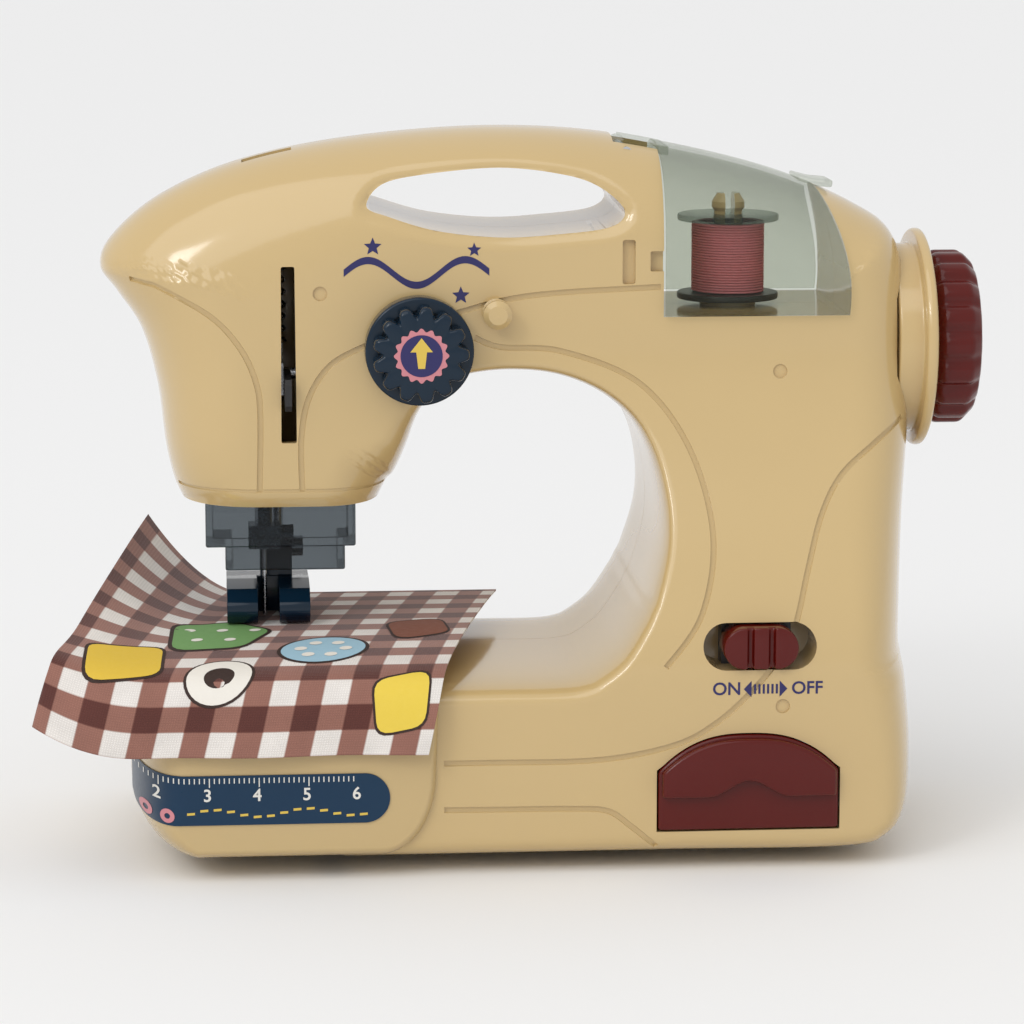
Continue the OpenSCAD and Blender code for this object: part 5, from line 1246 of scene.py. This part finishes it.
hinge = {"x": 23, "z": 145.686, "half": 9, "barrel": 2.2, "bore": 1.15}
lidMesh = lidSheet().data
arm = [(x, topAt(x) - 0.2) for x in np.linspace(hinge["x"], lid["left"] + 2.1, 12)]
arm += [(x, max(topAt(x) - 2.2, hinge["z"] - 2.2)) for x in np.linspace(lid["left"] + 2.1, hinge["x"], 12)]
lidArm = prism("lidArm", arm, -hinge["half"], hinge["half"])
barrel = prism("barrel", circle(hinge["x"], hinge["z"], hinge["barrel"], 40), -hinge["half"], hinge["half"])
lidArm = combine(lidArm, [barrel], "UNION")
lidArm = combine(lidArm, [prism("bore", circle(hinge["x"], hinge["z"], hinge["bore"], 32), -20, 20)])
tabHeights = ((60, -0.4), (64, -0.1), (67.4, 1.0), (67.6, 2.6), (63.6, 1.2), (60, 0.7))
tab = [(x, topAt(x) + d) for x, d in tabHeights]
lidTab = prism("lidTab", tab, -7, 7)
for v in lidTab.data.vertices:
    v.co.y *= 1 - 0.035 * max(v.co.x / mm - 60, 0)
armMesh, tabMesh = lidArm.data, roundEdges(lidTab, 0.4, 2)
bpy.data.objects.remove(lidArm)
dress(joinMeshes("spoolLid", [lidMesh, armMesh, tabMesh]), "spoolLid", smoky, 40, "lid", "spool_lid")
print("guard, foot and lid done")


# Bobbin and its thread
spool = {"x": 46, "z": 113.5, "high": 18, "flange": 10.75, "core": 6.2, "web": 1.4, "pin": 3.15,
         "yarn": 0.27, "turns": 26}
z0, z1 = spool["z"], spool["z"] + spool["high"]
pin, core, flange, web = (spool[k] for k in ("pin", "core", "flange", "web"))
body = filletedProfile([(pin, z0 + web), (core, z0 + web), (core, z1 - web), (flange, z1 - web), (flange, z1),
                        (pin, z1)], 0.4, 4)
turnedPiece("bobbin", body + [body[0]], "z", (spool["x"], 0), bobbinClear, 96, body="spool", node="bobbin")
base = filletedProfile([(pin, z0), (flange, z0), (flange, z0 + web), (pin, z0 + web)], 0.4, 4)
turnedPiece("bobbinBase", base + [base[0]], "z", (spool["x"], 0), darkAbs, 96, body="spool",
            node="bobbin_base")


def windingTree():
    numbers = {"Turns": 26.0, "Resolution": 40, "Radius": 0.007, "Height": 0.0145, "Yarn": 0.00027}
    tree, given = growTree("threadWinding", numbers, "Thread")
    coil = addNode(tree, "GeometryNodeCurveSpiral", Resolution=given["Resolution"], Rotations=given["Turns"],
                   Start_Radius=given["Radius"], End_Radius=given["Radius"], Height=given["Height"])
    ring = addNode(tree, "GeometryNodeCurvePrimitiveCircle", Resolution=6, Radius=given["Yarn"])
    tube = addNode(tree, "GeometryNodeCurveToMesh", Curve=coil.outputs[0], Profile_Curve=ring.outputs[0])
    soft = addNode(tree, "GeometryNodeSetShadeSmooth", Geometry=tube.outputs[0])
    return endTree(tree, soft.outputs[0], given["Thread"])


threadPink = plastic("pink polyester thread, spun", "#dc7f8c", 0.65, grain=0.5)
winding = windingTree()
sizes = {"Turns": float(spool["turns"]), "Resolution": 40, "Height": (spool["high"] - 3.4) * mm,
         "Yarn": spool["yarn"] * mm, "Thread": threadPink}
layers = []
for k in range(3):
    coil = grown("winding", winding, {**sizes, "Radius": (core + 0.3 + 0.5 * k) * mm})
    for v in coil.vertices:
        v.co += Vector((spool["x"], 0, z0 + 1.7)) * mm
    layers.append(coil)
dress(joinMeshes("threadWinding", layers), "threadWinding", threadPink, 70, "spool", "thread_winding")

# Switch knob with two finger grooves
knob = {"x": 47.4, "z": 47, "width": 15.4, "height": 8.6, "near": 39.3, "far": 47.9}
knobLine = stadium(knob["x"], knob["z"], knob["width"], knob["height"], 24)
knobSolid = prism("switchKnob", knobLine, -knob["far"], -knob["near"])
slots = []
for s in (-1, 1):
    x = knob["x"] + s * 2.2
    slots.append(boxTool("groove", (x - 0.6, -60, 30), (x + 0.6, -knob["far"] + 1.2, 60)))
knobSolid = combine(knobSolid, slots)
dress(roundEdges(knobSolid, 0.45, 3), "switchKnob", redAbs, 40, "switch", "switch_knob")

# Drawer: arched front, hooded lip with a finger arch, open box behind
drawer = {"front": 46.4, "lip": 48.6, "lipLow": 16, "arch": 3.4, "archHalf": 8.4, "boxHigh": 20.3,
          "boxBack": -13}
x0, x1 = drawerCut["x"] - drawerCut["half"], drawerCut["x"] + drawerCut["half"]
panel = prism("panel", drawerOutline(0), -drawer["front"], -drawer["front"] + 3)
xs = np.linspace(x1 - 0.7, x0 + 0.7, 49)
lipLine = [(x, drawerTop(x) - 0.6) for x in xs]
for x in xs[::-1]:
    arch = float(smooth(1 - abs(x - drawerCut["x"]) / drawer["archHalf"]))
    lipLine.append((x, drawer["lipLow"] + drawer["arch"] * arch))
lip = prism("lip", lipLine, -drawer["lip"], -drawer["front"] + 0.5)
tray = boxTool("tray", (x0 + 1.6, -drawer["front"] + 2.5, 8.8),
               (x1 - 1.6, drawer["boxBack"], drawer["boxHigh"]))
tray = combine(tray, [boxTool("hollow", (x0 + 3, -drawer["front"] + 3, 10.2),
                              (x1 - 3, drawer["boxBack"] - 1.4, 40))])
meshes = [roundEdges(panel, 0.7, 3), roundEdges(lip, 0.9, 4), roundEdges(tray, 0.3, 2)]
dress(joinMeshes("drawer", meshes), "drawer", redAbs, 40, "drawer", "drawer")
print("bobbin, switch and drawer done")


# Finishes of the CAD pieces that stay
finishes = {
    "beige_abs": beigeAbs, "red_abs": redAbs, "navy_abs": navyAbs, "dark_abs": darkAbs,
    "grey_abs": greyAbs, "acetal": acetal, "smoke_clear": smoky, "steel": steel, "brass": brass,
    "belt_rubber": rubber, "foot_rubber": rubber, "label_film": labelInk, "thread": threadPink,
    "cotton_check": coverAbs, "cell_can": cellCan,
}
for part in frame["record"]["subparts"]:
    piece = frame["nodes"][part["node"]]
    piece.data.materials.clear()
    piece.data.materials.append(finishes[part["material_slot"]])
frame["nodes"]["head_plate"].data.materials[0] = greyAbs
frame["nodes"]["presser_lever"].data.materials[0] = beigeAbs
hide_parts("wheel_collar")

# Table and light
studio = {"floor": 80.0, "paper": "#f0f0f0", "world": 0.76, "key": 0.9, "fill": 3.2}
floorPaper, tree = newMaterial("white paper, matt")
place = addNode(tree, "ShaderNodeTexCoord")
grain = addNode(tree, "ShaderNodeTexNoise", Vector=place.outputs["Object"], Scale=400.0)
rough = addNode(tree, "ShaderNodeMapRange", i0=grain.outputs["Fac"], i3=0.9, i4=1.0)
paper = linear(studio["paper"])
endMaterial(tree, addNode(tree, "ShaderNodeBsdfPrincipled", Base_Color=paper, Roughness=rough.outputs[0]))
s = studio["floor"] / mm / 2
floor = makePiece("floor", [(-s, -s, 0), (s, -s, 0), (s, s, 0), (-s, s, 0)], [(0, 1, 2, 3)], floorPaper)

world = bpy.data.worlds.new("studio")
bpy.context.scene.world = world
world.use_nodes = True
world.node_tree.nodes["Background"].inputs[0].default_value = linear("#ffffff")
world.node_tree.nodes["Background"].inputs[1].default_value = studio["world"]


def softBox(name, spot, aim, size, watts):
    lamp = bpy.data.lights.new(name, "AREA")
    lamp.shape, lamp.size, lamp.size_y, lamp.energy = "RECTANGLE", size[0], size[1], watts
    holder = addObject(name, lamp)
    holder.location = spot
    holder.rotation_euler = (Vector(aim) - Vector(spot)).to_track_quat("-Z", "Y").to_euler()


sky = addObject("keyLight", bpy.data.lights.new("keyLight", "SUN"))
sky.data.energy, sky.data.angle = studio["key"], math.radians(60)
sky.rotation_euler = Vector((0.55, 0.75, -1.0)).to_track_quat("-Z", "Y").to_euler()
softBox("windowLight", (-0.9, -1.1, 1.0), (0, 0, 0.1), (0.36, 0.36), studio["fill"])

view = {"lens": 138.7, "distance": 0.845, "height": 9.9, "turn": -4.5, "aim": (0, 0, 0.06773)}
camera = addObject("camera", bpy.data.cameras.new("camera"))
camera.data.lens, camera.data.sensor_width = view["lens"], 36.0
a, e = math.radians(view["turn"]), math.radians(view["height"])
direction = Vector((math.sin(a) * math.cos(e), -math.cos(a) * math.cos(e), math.sin(e)))
camera.location = Vector(view["aim"]) + view["distance"] * direction
camera.rotation_euler = (Vector(view["aim"]) - camera.location).to_track_quat("-Z", "Y").to_euler()
bpy.context.scene.camera = camera
bpy.context.scene.view_settings.view_transform = "Standard"

print("scene done")
